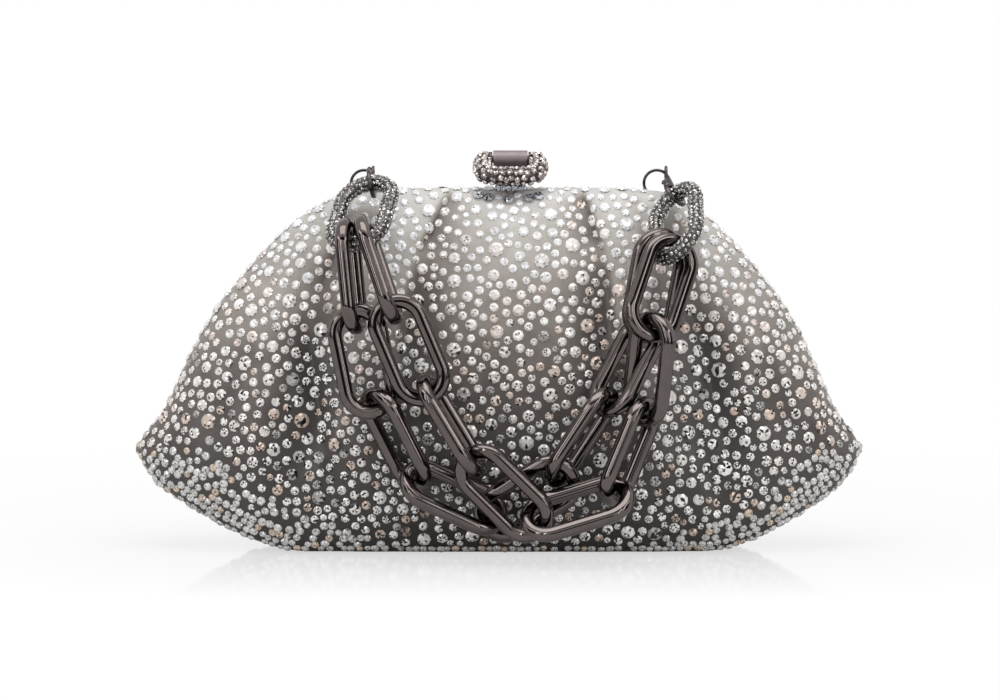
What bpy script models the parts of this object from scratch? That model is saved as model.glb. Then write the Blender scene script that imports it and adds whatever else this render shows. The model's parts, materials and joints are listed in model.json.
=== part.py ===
import math

import bmesh
import bpy
import numpy as np
from mathutils import Matrix, Vector

# Crystal evening clutch with a covered frame and a two-strand chain handle.
# Sizes are in metres. X runs left to right as the front is seen, Y away from the viewer, Z up.

# Soft body
body_height = 0.1172
left_reach = 0.1215
right_reach = 0.1140
body_depth = 0.0570
wall = 0.0012
fit_gap = 0.0003
seam_gap = 0.0004

# Frame and its hinge
hinge_reach_share = 0.579
hinge_reach = min(left_reach, right_reach) * hinge_reach_share
hinge_drop = 0.0222
hinge_height = body_height - hinge_drop
frame_drop = 0.0082
frame_bar_depth = 0.0034
frame_bar_height = 0.0048
frame_parting = 0.0024
lug_radius = 0.0032
lug_thickness = 0.0014
pin_radius = 0.0011
pin_head_radius = 0.0019
pin_head_thickness = 0.0007
lip_bulge = 0.0026
lip_tuck = 0.0014
lip_spread = 0.0120
lip_fade = 0.0080
panel_overreach = 0.0036

# Base board and lining
board_thickness = 0.0020
lining_wall = 0.0008
lining_drop = 0.0180
lining_gap = 0.0009
lining_reach_share = 0.86
lining_start_share = 0.06
lining_end_share = 0.02

# Clasp on top
clasp_width = 0.0182
clasp_depth = 0.0130
clasp_wire = 0.0050
clasp_lean = 0.0050
barrel_length = 0.0112
barrel_radius = 0.0029
barrel_rise = 0.0090
barrel_height = body_height + barrel_rise
clasp_pin_radius = 0.0012
post_radius = 0.0014
seat_length = 0.0100
seat_depth = 0.0046
seat_thickness = 0.0012

# Rings that carry the handle
ring_spacing_share = 0.405
ring_spacing = (left_reach + right_reach) * ring_spacing_share
ring_radius = 0.0042
ring_wire = 0.0010
ring_bracket_length = 0.0036
ring_bracket_radius = 0.0014
ring_bracket_drop = 0.0026
ring_bracket_height = body_height - ring_bracket_drop

# Lobster clasps
clasp_reach = 0.0130
eye_radius = 0.0023
eye_wire = 0.0011
claw_radius = 0.0042
claw_wire = 0.0019
trigger_wire = 0.0013
trigger_nub_radius = 0.0010
trigger_tip = -101
trigger_nub = -132
trigger_root = -143

# Chain
link_length = 0.0376
link_width = 0.0196
link_wire = 0.0046
jewelled_link_length = 0.0350
jewelled_link_width = 0.0222
jewelled_link_wire = 0.0052
link_gap = 0.0007
chain_stand_off = 0.0016
handle_drop_share = 1.06
handle_drop = body_height * handle_drop_share

# Outlines of the body seen from the front: share of the reach, share of the height
top_outline_shares = (
    (0.00, 1.000), (0.30, 1.000), (0.44, 0.990), (0.51, 0.955), (0.585, 0.905), (0.63, 0.858),
    (0.68, 0.805), (0.72, 0.755), (0.775, 0.690), (0.81, 0.630), (0.85, 0.560), (0.89, 0.470),
    (0.92, 0.400), (0.95, 0.350), (1.00, 0.330),
)
bottom_outline_shares = (
    (0.00, 0.000), (0.56, 0.000), (0.62, 0.008), (0.70, 0.035), (0.80, 0.085), (0.865, 0.125),
    (0.915, 0.155), (0.95, 0.180), (1.00, 0.215),
)
outline_smoothing_share = 0.02
nose_start_share = 0.93
nose_end_share = 0.998
widest_share = 0.72
fullness_share = 0.60
base_depth_share = 0.60
base_start_share = 0.90
depth_fall_shares = (3.0, 0.5)

# Pleats: place at the top and at the bottom as shares of the reach, width and depth as shares of the depth
pleat_shares = (
    (-0.17, -0.33, 0.10, 0.080), (-0.46, -0.56, 0.16, 0.120), (-0.30, -0.45, 0.12, -0.040),
    (0.20, 0.32, 0.10, 0.080), (0.44, 0.58, 0.18, 0.115), (0.33, 0.46, 0.12, -0.040),
)

# The handle's two strands, as the line each one hangs along. Each link has its place across as a share of
# half the ring spacing, its place down as a share of the handle's drop, its stand-off from the fabric as a
# share of half a link's width and its roll in degrees from facing the viewer.
strand_a_shares = (
    (-1.01, 0.204, 0.9, 78), (-1.046, 0.418, 0.6, 4), (-0.778, 0.625, 0.6, 60),
    (-0.461, 0.787, 0.6, 110), (0.052, 0.841, 0.5, 10), (0.44, 0.673, 0.5, 62),
    (0.738, 0.512, 0.6, 117), (0.900, 0.360, 0.7, 178),
)
strand_b_shares = (
    (-0.77, 0.178, 0.9, 100), (-0.675, 0.371, 0.9, 170), (-0.463, 0.563, 1.1, 110),
    (-0.071, 0.734, 1.2, 170), (0.38, 0.808, 1.4, 120), (0.832, 0.643, 1.4, 60),
    (0.943, 0.437, 1.4, 120), (0.980, 0.310, 1.3, 182),
)
left_jewelled_shares = (-0.945, 0.05, 0.9, 3)
right_jewelled_shares = (1.06, 0.19, 0.1, 86)
clasp_directions = {"left": Vector((-0.02, -0.97, -0.16)), "right": Vector((0.20, -0.97, -0.50))}
settling_steps = 240
guided_share = 0.6
parting_passes = 4
guide_ease_share = 0.05
hook_slack_share = 0.3
line_steps = 12
lean_back_share = 0.5
body_columns = 31


def clear_scene():
    for obj in list(bpy.data.objects):
        bpy.data.objects.remove(obj, do_unlink=True)


def make_material(name, colour, roughness, metallic):
    material = bpy.data.materials.new(name)
    material.use_nodes = True
    shader = material.node_tree.nodes["Principled BSDF"]
    shader.inputs["Base Color"].default_value = (*colour, 1)
    shader.inputs["Roughness"].default_value = roughness
    shader.inputs["Metallic"].default_value = metallic
    return material


def make_object(name, bm, material, smooth_angle=35):
    mesh = bpy.data.meshes.new(name)
    bmesh.ops.recalc_face_normals(bm, faces=bm.faces)
    bm.to_mesh(mesh)
    bm.free()
    mesh.shade_smooth()
    mesh.set_sharp_from_angle(angle=math.radians(smooth_angle))
    mesh.materials.append(material)
    obj = bpy.data.objects.new(name, mesh)
    bpy.context.scene.collection.objects.link(obj)
    return obj


def add_grid(bm, rows, close_rows=False, close_columns=False):
    """Faces between rows of points that all have the same length."""
    verts = [[bm.verts.new(point) for point in row] for row in rows]
    row_pairs = [(i, i + 1) for i in range(len(verts) - 1)]
    if close_rows:
        row_pairs.append((len(verts) - 1, 0))
    count = len(verts[0])
    for i, k in row_pairs:
        for j in range(count if close_columns else count - 1):
            n = (j + 1) % count
            bm.faces.new((verts[i][j], verts[i][n], verts[k][n], verts[k][j]))
    return verts


def add_shell(bm, outer, inner):
    """A closed thin wall between two matching grids of points."""
    out = add_grid(bm, outer)
    inn = add_grid(bm, inner)
    last_row = len(out) - 1
    last_column = len(out[0]) - 1
    for j in range(last_column):
        bm.faces.new((out[0][j], out[0][j + 1], inn[0][j + 1], inn[0][j]))
        bm.faces.new((out[last_row][j], out[last_row][j + 1], inn[last_row][j + 1], inn[last_row][j]))
    for i in range(last_row):
        bm.faces.new((out[i][0], out[i + 1][0], inn[i + 1][0], inn[i][0]))
        bm.faces.new((out[i][last_column], out[i + 1][last_column], inn[i + 1][last_column], inn[i][last_column]))


def tube(path, radii, sides, closed=False, side_axis=Vector((0, 1, 0))):
    """A round tube along a flat path; side_axis is square to the path's plane."""
    bm = bmesh.new()
    count = len(path)
    rows = []
    for i, point in enumerate(path):
        before = path[(i - 1) % count] if closed or i > 0 else point
        after = path[(i + 1) % count] if closed or i < count - 1 else point
        heading = (after - before).normalized()
        outward = heading.cross(side_axis).normalized()
        radius = radii[i]
        row = []
        for k in range(sides):
            angle = 2 * math.pi * (k + 0.5) / sides
            row.append(point + outward * (radius * math.cos(angle)) + side_axis * (radius * math.sin(angle)))
        rows.append(row)
    verts = add_grid(bm, rows, close_rows=closed, close_columns=True)
    if not closed:
        bm.faces.new(verts[0])
        bm.faces.new(verts[-1])
    return bm


def cylinder(name, radius, length, sides, centre, material, axis="X"):
    bm = bmesh.new()
    bmesh.ops.create_cone(bm, cap_ends=True, segments=sides, radius1=radius, radius2=radius, depth=length)
    turn = {"X": Matrix.Rotation(math.pi / 2, 4, "Y"), "Y": Matrix.Rotation(math.pi / 2, 4, "X"), "Z": Matrix()}
    bmesh.ops.transform(bm, matrix=Matrix.Translation(centre) @ turn[axis], verts=bm.verts)
    return make_object(name, bm, material)


def block(name, size, centre, material, bevel=0.0):
    bm = bmesh.new()
    bmesh.ops.create_cube(bm, size=1)
    bmesh.ops.scale(bm, vec=size, verts=bm.verts)
    if bevel:
        bmesh.ops.bevel(bm, geom=bm.edges[:], offset=bevel, segments=1, affect="EDGES")
    bmesh.ops.translate(bm, vec=centre, verts=bm.verts)
    return make_object(name, bm, material)


def combine(target, tool, operation):
    """Joins or cuts the target with the tool and leaves the tool as a hidden guide."""
    modifier = target.modifiers.new(f"{operation.lower()} {tool.name}", "BOOLEAN")
    modifier.operation = operation
    modifier.object = tool
    modifier.solver = "EXACT"
    tool.hide_render = True
    tool.display_type = "WIRE"


def share_at(table, place):
    """Smoothed reading of an outline table."""
    across = np.array([pair[0] for pair in table])
    values = np.array([pair[1] for pair in table])
    offsets = np.linspace(-outline_smoothing_share, outline_smoothing_share, 5)
    place = np.asarray(place, float)
    return sum(np.interp(np.abs(place + offset), across, values) for offset in offsets) / len(offsets)


def profile_share(down):
    """Half depth of the body's section as a share, from the top seam (0) to the base (1)."""
    down = np.asarray(down, float)
    upper = np.sin(np.pi / 2 * np.clip(down / widest_share, 0, 1)) ** fullness_share
    under = np.clip((down - widest_share) / (1 - widest_share), 0, 1)
    lower = base_depth_share + (1 - base_depth_share) * np.sqrt(1 - under**2)
    return np.where(down <= widest_share, upper, lower)


def body_levels(place):
    """Top and bottom heights and half depth of the body at a signed share of the reach."""
    along = np.abs(place)
    top = share_at(top_outline_shares, along) * body_height
    bottom = share_at(bottom_outline_shares, along) * body_height
    over = np.clip((along - nose_start_share) / (1 - nose_start_share), 0, 1)
    nose = np.sqrt(1 - over**2)
    middle = (top + bottom) / 2
    half = (top - bottom) / 2 * nose
    power, root = depth_fall_shares
    depth = body_depth / 2 * (1 - np.minimum(along, 1) ** power) ** root
    return middle, half, depth


def thinned(size, inset):
    return size - inset * np.minimum(1, size / (4 * inset)) if inset else size


def pleat_inset(place, down):
    """How far the pleats draw the wall in, as a share of the half depth there."""
    drawn = 0
    window = np.sin(np.pi * np.clip((down - 0.02) / 0.86, 0, 1)) ** 0.7
    for top_place, bottom_place, width, depth in pleat_shares:
        middle = top_place + (bottom_place - top_place) * down
        drawn = drawn + depth * np.exp(-(((place - middle) / (width * 0.6)) ** 2))
    return drawn * window


def body_point(place, down, inset=0.0):
    """A point of the front or back wall: signed share of the reach, share of the way down."""
    place = np.asarray(place, float)
    down = np.asarray(down, float)
    reach = np.where(place < 0, left_reach, right_reach) - inset
    middle, half, depth = body_levels(place)
    half = thinned(half, inset)
    across = depth * profile_share(down) * (1 - pleat_inset(place, down))
    inner = thinned(depth, inset) / np.maximum(depth, 1e-9) * across
    return place * reach, inner + seam_gap / 2, middle + half * (1 - 2 * down)


def front_surface(x, z):
    """The Y of the front wall at a place seen from the front."""
    place = x / np.where(x < 0, left_reach, right_reach)
    middle, half, depth = body_levels(place)
    down = np.clip((middle + half - z) / (2 * half), 0, 1)
    return -(depth * profile_share(down) * (1 - pleat_inset(place, down)) + seam_gap / 2)


def spread(count, end):
    """Places along the body, closer together towards the tips."""
    angles = np.linspace(-np.pi / 2, np.pi / 2, count)
    even = np.linspace(-1, 1, count)
    return end * (0.55 * even + 0.45 * np.sin(angles))


def wall_rows(places, downs, side, inset):
    """Rows of points, one for each share down, on the front (-1) or the back (1)."""
    rows = []
    for down in downs:
        x, y, z = body_point(places, down if np.ndim(down) else np.full_like(places, down), inset)
        rows.append([Vector((float(a), float(side * b), float(c))) for a, b, c in zip(x, y, z)])
    return rows


def front_panel(material):
    places = spread(body_columns, nose_end_share)
    downs = base_start_share * np.linspace(0, 1, 13) ** 1.8
    bm = bmesh.new()
    add_shell(bm, wall_rows(places, downs, -1, 0.0), wall_rows(places, downs, -1, wall))
    return make_object("front_panel", bm, material, 60)


def lip_shift(z):
    """Share of the hinge fold at a height, one at the hinge's level."""
    return np.exp(-(((z - hinge_height) / lip_spread) ** 2))


def back_panel_lower(material):
    """The back wall below the hinge, with its upper edge swelling outward over the upper part."""
    edge = hinge_reach + panel_overreach
    places = set(spread(body_columns, nose_end_share))
    for end, reach in ((-1, left_reach), (1, right_reach)):
        places = {place for place in places if abs(place * reach - end * edge) > 4 * fit_gap}
        places |= {end * (edge - fit_gap / 10) / reach, end * (edge + fit_gap / 10) / reach}
    places = np.array(sorted(places))
    reach = np.where(places < 0, left_reach, right_reach)
    middle, half, _ = body_levels(places)
    inside = edge - np.abs(places * reach)
    opening = inside > 0
    start = np.where(opening, np.clip((middle + half - hinge_height) / (2 * half), 0, 1), 0)
    fade = np.clip(inside / lip_fade, 0, 1)
    grids = []
    for inset in (0.0, wall):
        rows = []
        for share in np.linspace(0, 1, 10):
            downs = start + (base_start_share - start) * share ** 1.25
            x, y, z = body_point(places, downs, inset)
            y = y + lip_bulge * fade * lip_shift(z)
            rows.append([Vector((float(a), float(b), float(c))) for a, b, c in zip(x, y, z)])
        grids.append(rows)
    bm = bmesh.new()
    add_shell(bm, *grids)
    return make_object("back_panel_lower", bm, material, 60)


def back_panel_upper(material):
    """The part of the back wall that swings with the back frame, tucked inside the lower part's lip."""
    edge = hinge_reach + panel_overreach - 3 * fit_gap
    xs = np.linspace(-edge, edge, 19)
    grids = []
    for inset in (0.0, wall):
        places = xs / (np.where(xs < 0, left_reach, right_reach))
        middle, half, _ = body_levels(places)
        last = (middle + half - hinge_height) / (2 * half)
        rows = []
        for share in np.linspace(0, 1, 8):
            _, y, z = body_point(places, last * share ** 1.3, inset)
            y = y - lip_tuck * lip_shift(z) * share
            z = np.maximum(z, hinge_height + seam_gap)
            rows.append([Vector((float(a), float(b), float(c))) for a, b, c in zip(xs, y, z)])
        grids.append(rows)
    bm = bmesh.new()
    add_shell(bm, *grids)
    return make_object("back_panel_upper", bm, material, 60)


def base_panel(material):
    """The boat-shaped bottom: up the front, across the floor and up the back."""
    places = spread(body_columns, nose_end_share)
    gap_share = seam_gap / body_height
    grids = []
    for inset in (0.0, wall):
        rows = []
        downs = np.linspace(base_start_share + gap_share * 3, 1, 4)
        for down in downs:
            rows += wall_rows(places, [down], -1, inset)
        for down in downs[::-1]:
            rows += wall_rows(places, [down], 1, inset)
        grids.append(rows)
    bm = bmesh.new()
    add_shell(bm, *grids)
    return make_object("base_panel", bm, material, 60)


def base_board(material):
    """The stiff board that keeps the base flat."""
    xs = np.linspace(-0.52, 0.52, 15)
    lower = wall + fit_gap
    ring_low = []
    for side in (-1, 1):
        for place in (xs if side < 0 else xs[::-1]):
            x, y, _ = body_point(place, 1.0, wall + fit_gap)
            ring_low.append((float(x), float(side * (y - fit_gap)), lower))
    bm = bmesh.new()
    bottom = [bm.verts.new(point) for point in ring_low]
    top = [bm.verts.new((x, y, z + board_thickness)) for x, y, z in ring_low]
    bm.faces.new(bottom)
    bm.faces.new(top)
    for i in range(len(bottom)):
        k = (i + 1) % len(bottom)
        bm.faces.new((bottom[i], bottom[k], top[k], top[i]))
    return make_object("base_board", bm, material)


def lining(material):
    """The satin pouch inside the walls, open at the top below the frame's swing."""
    inset = wall + lining_gap
    places = spread(17, lining_reach_share)
    middle, half, _ = body_levels(places)
    rim = hinge_height - lining_drop
    start = np.clip((middle + half - rim) / (2 * half), lining_start_share, 1)
    floor = 1 - (wall + 2 * fit_gap + board_thickness) / body_height
    grids = []
    for depth in (inset, inset + lining_wall):
        rows = []
        for side in (-1, 1):
            shares = np.linspace(0, 1, 7)
            for share in (shares if side < 0 else shares[::-1]):
                downs = start + (floor - lining_end_share - start) * share
                x, y, z = body_point(places, downs, depth)
                z = np.maximum(z, wall + board_thickness + 3 * fit_gap + (depth - inset))
                rows.append([Vector((float(a), float(side * b), float(c))) for a, b, c in zip(x, y, z)])
        grids.append(rows)
    bm = bmesh.new()
    add_shell(bm, *grids)
    return make_object("lining", bm, material, 60)


def frame_half(name, side, material):
    """Half of the metal frame: a flat bar that follows the top outline and ends in a hinge lug."""
    lug_middle = hinge_reach - lug_thickness / 2
    if side > 0:
        lug_middle = hinge_reach + fit_gap + lug_thickness / 2
    xs = lug_middle * np.sin(np.linspace(-np.pi / 2, np.pi / 2, 17))
    middle, half, _ = body_levels(xs / np.where(xs < 0, left_reach, right_reach))
    heights = middle + half - frame_drop
    xs[1], xs[-2] = -lug_middle, lug_middle
    heights[0] = heights[-1] = hinge_height + lug_radius * 0.6
    heights[1] = heights[-2] = hinge_height + lug_radius * 1.5
    y = side * (frame_parting / 2 + frame_bar_depth / 2)
    bm = bmesh.new()
    rows = []
    for i, (x, z) in enumerate(zip(xs, heights)):
        k = min(max(i, 1), len(xs) - 2)
        slope = math.atan2(heights[k + 1] - heights[k - 1], xs[k + 1] - xs[k - 1])
        tall = frame_bar_height
        if i in (0, 1, len(xs) - 2, len(xs) - 1):
            slope = math.copysign(math.pi / 2, -x)
            tall = lug_thickness
        up = Vector((-math.sin(slope), 0, math.cos(slope))) * (tall / 2)
        deep = Vector((0, frame_bar_depth / 2, 0))
        at = Vector((float(x), y, float(z)))
        rows.append([at - up - deep, at + up - deep, at + up + deep, at - up + deep])
    verts = add_grid(bm, rows, close_columns=True)
    bm.faces.new(verts[0])
    bm.faces.new(verts[-1])
    frame = make_object(name, bm, material)
    for end in (-1, 1):
        centre = Vector((end * lug_middle, 0, hinge_height))
        lug = cylinder(f"{name} lug {end}", lug_radius, lug_thickness, 20, centre, material)
        bore = cylinder(f"{name} bore {end}", pin_radius + fit_gap, lug_thickness * 3, 16, centre, material)
        combine(frame, lug, "UNION")
        combine(frame, bore, "DIFFERENCE")
    return frame


def hinge_pin(name, end, material):
    """A pin with a head on each side of the two lugs."""
    inside = hinge_reach - lug_thickness - fit_gap
    outside = hinge_reach + 2 * fit_gap + lug_thickness
    stations = (
        (inside - pin_head_thickness, pin_head_radius), (inside, pin_head_radius), (inside, pin_radius),
        (outside, pin_radius), (outside, pin_head_radius), (outside + pin_head_thickness, pin_head_radius),
    )
    bm = bmesh.new()
    rows = []
    for x, radius in stations:
        row = []
        for k in range(12):
            angle = 2 * math.pi * k / 12
            row.append(Vector((end * x, radius * math.cos(angle), hinge_height + radius * math.sin(angle))))
        rows.append(row)
    verts = add_grid(bm, rows, close_columns=True)
    bm.faces.new(verts[0])
    bm.faces.new(verts[-1])
    return make_object(name, bm, material)


def clasp_ring(material):
    """The jewelled ring: an open loop whose ends are joined by a thin pin inside the barrel."""
    end_gap = barrel_length / 2 + fit_gap
    barrel_place = clasp_depth / 2 * 0.86
    outline = [(end_gap, barrel_place), (end_gap + clasp_wire / 3, barrel_place)]
    for k in range(21):
        angle = math.radians(29 - 238 * k / 20)
        x = clasp_width / 2 * math.copysign(abs(math.cos(angle)) ** 0.5, math.cos(angle))
        y = clasp_depth / 2 * math.copysign(abs(math.sin(angle)) ** 0.62, math.sin(angle))
        outline.append((x, y))
    outline += [(-end_gap - clasp_wire / 3, barrel_place), (-end_gap, barrel_place)]
    path = []
    for x, y in outline:
        lean = clasp_lean * (barrel_place - y) / clasp_depth
        path.append(Vector((x, y, barrel_height - lean)))
    side_axis = Vector((0, clasp_lean, clasp_depth)).normalized()
    side_axis = Vector((0, -side_axis.y, side_axis.z))
    ring = make_object("clasp_ring", tube(path, [clasp_wire / 2] * len(path), 10, side_axis=side_axis), material)
    pin_place = Vector((0, path[0].y, path[0].z))
    pin = cylinder("clasp_ring pin", clasp_pin_radius, 2 * end_gap + clasp_wire / 2, 16, pin_place, material)
    combine(ring, pin, "UNION")
    return ring, pin_place


def clasp_barrel(pin_place, material):
    """The smooth sleeve on the back frame that the jewelled ring turns in."""
    barrel = cylinder("clasp_barrel", barrel_radius, barrel_length, 28, pin_place, material)
    bore = cylinder("clasp_barrel bore", clasp_pin_radius + fit_gap, barrel_length * 2, 20, pin_place, material)
    post_place = frame_parting / 2 + frame_bar_depth / 2
    seat_low = body_height + fit_gap
    post_low = body_height - frame_drop + frame_bar_height / 2 + fit_gap
    neck_high = pin_place.z - clasp_pin_radius * 1.6
    near = post_place - seat_depth / 2
    far = pin_place.y + barrel_radius * 0.7
    plate = block(
        "clasp_barrel plate", (seat_length * 0.7, far - near, seat_thickness),
        (0, (near + far) / 2, seat_low + seat_thickness / 2), material,
    )
    neck = block(
        "clasp_barrel neck", (seat_length * 0.6, barrel_radius * 1.2, neck_high - seat_low),
        (0, pin_place.y, (neck_high + seat_low) / 2), material,
    )
    post = cylinder(
        "clasp_barrel post", post_radius, seat_low + seat_thickness / 2 - post_low, 16,
        Vector((0, post_place, (seat_low + seat_thickness / 2 + post_low) / 2)), material, "Z",
    )
    combine(barrel, neck, "UNION")
    combine(barrel, plate, "UNION")
    combine(barrel, post, "UNION")
    combine(barrel, bore, "DIFFERENCE")
    return barrel


def clasp_seat(pin_place, material):
    """The catch on the front frame that the ring's front edge closes onto."""
    post_place = -(frame_parting / 2 + frame_bar_depth / 2)
    seat_low = body_height + fit_gap
    post_low = body_height - frame_drop + frame_bar_height / 2 + fit_gap
    ring_front = -clasp_depth / 2
    ring_low = barrel_height - clasp_lean - clasp_wire / 2
    seat_high = ring_low - fit_gap
    near = ring_front - seat_depth / 3
    seat = block(
        "clasp_seat", (seat_length, -seam_gap - near, seat_high - seat_low),
        (0, (near - seam_gap) / 2, (seat_high + seat_low) / 2), material, seat_thickness / 4,
    )
    post = cylinder(
        "clasp_seat post", post_radius, seat_low + seat_thickness / 2 - post_low, 16,
        Vector((0, post_place, (seat_low + seat_thickness / 2 + post_low) / 2)), material, "Z",
    )
    combine(seat, post, "UNION")
    return seat


def cut_post_holes(front, back, material):
    for panel, side in ((front, -1), (back, 1)):
        place = side * (frame_parting / 2 + frame_bar_depth / 2)
        hole = cylinder(
            f"{panel.name} post hole", post_radius + fit_gap, wall * 8, 16,
            Vector((0, place, body_height)), material, "Z",
        )
        combine(panel, hole, "DIFFERENCE")


def ring_places():
    return {"left": -ring_spacing / 2, "right": ring_spacing / 2}


def hang_point(side):
    """Where the lobster clasp's eye hangs on its ring, an eighth of a turn right of the top."""
    lean = math.sqrt(0.5) * ring_radius
    return Vector((ring_places()[side] + lean, 0, ring_bracket_height + ring_radius + lean))


def carrying_ring(side, material):
    path = []
    centre = Vector((ring_places()[side], 0, ring_bracket_height + ring_radius))
    for k in range(20):
        angle = 2 * math.pi * k / 20
        path.append(centre + Vector((math.cos(angle), 0, math.sin(angle))) * ring_radius)
    return make_object(f"ring_{side}", tube(path, [ring_wire / 2] * len(path), 6, closed=True), material)


def ring_bracket(side, material):
    """The sleeve that holds the ring, on a foot that lies on the front frame."""
    x = ring_places()[side]
    name = f"ring_bracket_{side}"
    centre = Vector((x, 0, ring_bracket_height))
    sleeve = cylinder(name, ring_bracket_radius, ring_bracket_length, 20, centre, material)
    middle, half, _ = body_levels(x / (left_reach if x < 0 else right_reach))
    bar_top = float(middle + half) - frame_drop + frame_bar_height / 2
    foot_low = bar_top + fit_gap
    foot_high = ring_bracket_height - ring_wire
    depth = frame_parting / 2 + frame_bar_depth * 0.22
    foot = block(
        f"{name} foot", (ring_bracket_length * 0.8, depth, foot_high - foot_low),
        (x, -depth / 2, (foot_high + foot_low) / 2), material,
    )
    combine(sleeve, foot, "UNION")
    path = []
    ring_centre = Vector((x, 0, ring_bracket_height + ring_radius))
    for k in range(20):
        angle = 2 * math.pi * k / 20
        path.append(ring_centre + Vector((math.cos(angle), 0, math.sin(angle))) * ring_radius)
    bore_bm = tube(path, [ring_wire / 2 + fit_gap] * len(path), 8, closed=True)
    bore = make_object(f"{name} bore", bore_bm, material)
    combine(sleeve, bore, "DIFFERENCE")
    return sleeve


def cut_ring_slots(front, back, material):
    """Slots in the covered top where the brackets and rings come out."""
    for side, x in ring_places().items():
        wide = 2 * (ring_radius + ring_wire + 2 * fit_gap)
        deep = ring_bracket_radius + 2 * fit_gap
        for panel, way in ((front, -1), (back, 1)):
            low = ring_bracket_height - ring_bracket_radius
            high = body_height + wall
            slot = block(
                f"{panel.name} slot {side}", (wide, 2 * deep, high - low),
                (x, 0, (high + low) / 2), material,
            )
            combine(panel, slot, "DIFFERENCE")


def claw_centre(side):
    return hang_point(side) + clasp_directions[side].normalized() * clasp_reach


def clasp_axes(side, wire_direction):
    """Along the clasp, the normal of its claw's loop and the direction across."""
    along = clasp_directions[side].normalized()
    normal = (wire_direction - along * wire_direction.dot(along)).normalized()
    if normal.x < 0:
        normal = -normal
    return along, normal, normal.cross(along)


def lobster_clasp(side, axes, material):
    """Eye, neck and open claw in one piece; the trigger closes the claw's mouth."""
    name = f"clasp_body_{side}"
    eye_centre = hang_point(side)
    claw = claw_centre(side)
    along, normal, across = axes
    path = []
    radii = []
    for k in range(15):
        angle = math.radians(172 - 262 * k / 14)
        path.append(claw + (along * math.cos(angle) + across * math.sin(angle)) * claw_radius)
        radii.append(claw_wire / 2 * (1.15 - 0.45 * k / 14))
    body = make_object(name, tube(path, radii, 8, side_axis=normal), material)
    eye_path = []
    for k in range(14):
        angle = 2 * math.pi * k / 14
        eye_path.append(eye_centre + Vector((0, math.cos(angle), math.sin(angle))) * eye_radius)
    eye_bm = tube(eye_path, [eye_wire / 2] * 14, 6, closed=True, side_axis=Vector((1, 0, 0)))
    eye = make_object(f"{name} eye", eye_bm, material)
    start = eye_centre + along * (eye_radius * 0.9)
    end = claw - along * (claw_radius * 0.92)
    neck_bm = bmesh.new()
    length = (end - start).length
    bmesh.ops.create_cone(
        neck_bm, cap_ends=True, segments=12, radius1=eye_wire * 0.8, radius2=claw_wire * 0.66, depth=length
    )
    turn = Vector((0, 0, 1)).rotation_difference(end - start).to_matrix().to_4x4()
    bmesh.ops.transform(neck_bm, matrix=Matrix.Translation((start + end) / 2) @ turn, verts=neck_bm.verts)
    neck = make_object(f"{name} neck", neck_bm, material)
    combine(body, neck, "UNION")
    combine(body, eye, "UNION")
    return body


def trigger(side, axes, material):
    """The sprung lever across the claw's mouth, with its thumb nub near the pivot, which is its origin."""
    claw = claw_centre(side)
    along, normal, across = axes
    path = []
    radii = []
    for k in range(9):
        angle = math.radians(trigger_tip - (trigger_tip - trigger_root) * k / 8)
        path.append(claw + (along * math.cos(angle) + across * math.sin(angle)) * claw_radius)
        radii.append(trigger_wire / 2 * (0.8 + 0.4 * k / 8))
    name = f"trigger_{side}"
    lever = make_object(name, tube(path, radii, 8, side_axis=normal), material)
    angle = math.radians(trigger_nub)
    outward = along * math.cos(angle) + across * math.sin(angle)
    nub_bm = bmesh.new()
    bmesh.ops.create_icosphere(nub_bm, subdivisions=1, radius=trigger_nub_radius)
    bmesh.ops.translate(nub_bm, vec=claw + outward * (claw_radius + trigger_nub_radius), verts=nub_bm.verts)
    nub = make_object(f"{name} nub", nub_bm, material)
    combine(lever, nub, "UNION")
    set_origin(nub, path[-1])
    set_origin(lever, path[-1])
    return lever


def link_path(length, width, wire, arc_steps):
    """The middle line of an oval link in its own plane: X across, Z along."""
    radius = (width - wire) / 2
    straight = (length - width) / 2
    path = []
    for end in (1, -1):
        for k in range(arc_steps + 1):
            angle = math.pi * k / arc_steps
            path.append(Vector((end * radius * math.cos(angle), 0, end * (straight + radius * math.sin(angle)))))
    return path


def even_points(path, count):
    """Points at even steps round a closed path."""
    points = np.array([tuple(point) for point in path])
    following = np.roll(points, -1, axis=0)
    steps = np.linalg.norm(following - points, axis=1)
    travelled = np.concatenate([[0], np.cumsum(steps)])
    wanted = np.linspace(0, travelled[-1], count, endpoint=False)
    closed = np.vstack([points, points[:1]])
    return np.stack([np.interp(wanted, travelled, closed[:, axis]) for axis in range(3)], axis=1)


def smooth_line(places):
    """A dense smooth line through the places."""
    knots = [2 * places[0] - places[1], *places, 2 * places[-1] - places[-2]]
    line = []
    for a, b, c, d in zip(knots, knots[1:], knots[2:], knots[3:]):
        for t in np.linspace(0, 1, line_steps, endpoint=False):
            bend = (2 * a - 5 * b + 4 * c - d) * t**2 + (3 * b - 3 * c + d - a) * t**3
            line.append(b + ((c - a) * t + bend) / 2)
    return np.array([*line, places[-1]])


def turned(heading, roll):
    """Axes of a link as columns: across, square to its plane, along."""
    roll = math.radians(roll)
    along = heading / np.linalg.norm(heading)
    across = np.cross((0, -1, 0), along)
    across /= np.linalg.norm(across)
    normal = np.cross(along, across)
    rolled = across * math.cos(roll) + normal * math.sin(roll)
    return np.stack([rolled, np.cross(along, rolled), along], axis=1)


def small_turn(vector):
    """The rotation matrix of a small turn vector."""
    angle = np.linalg.norm(vector)
    if angle < 1e-12:
        return np.eye(3)
    return np.array(Matrix.Rotation(angle, 3, Vector(vector / angle)))


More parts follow.
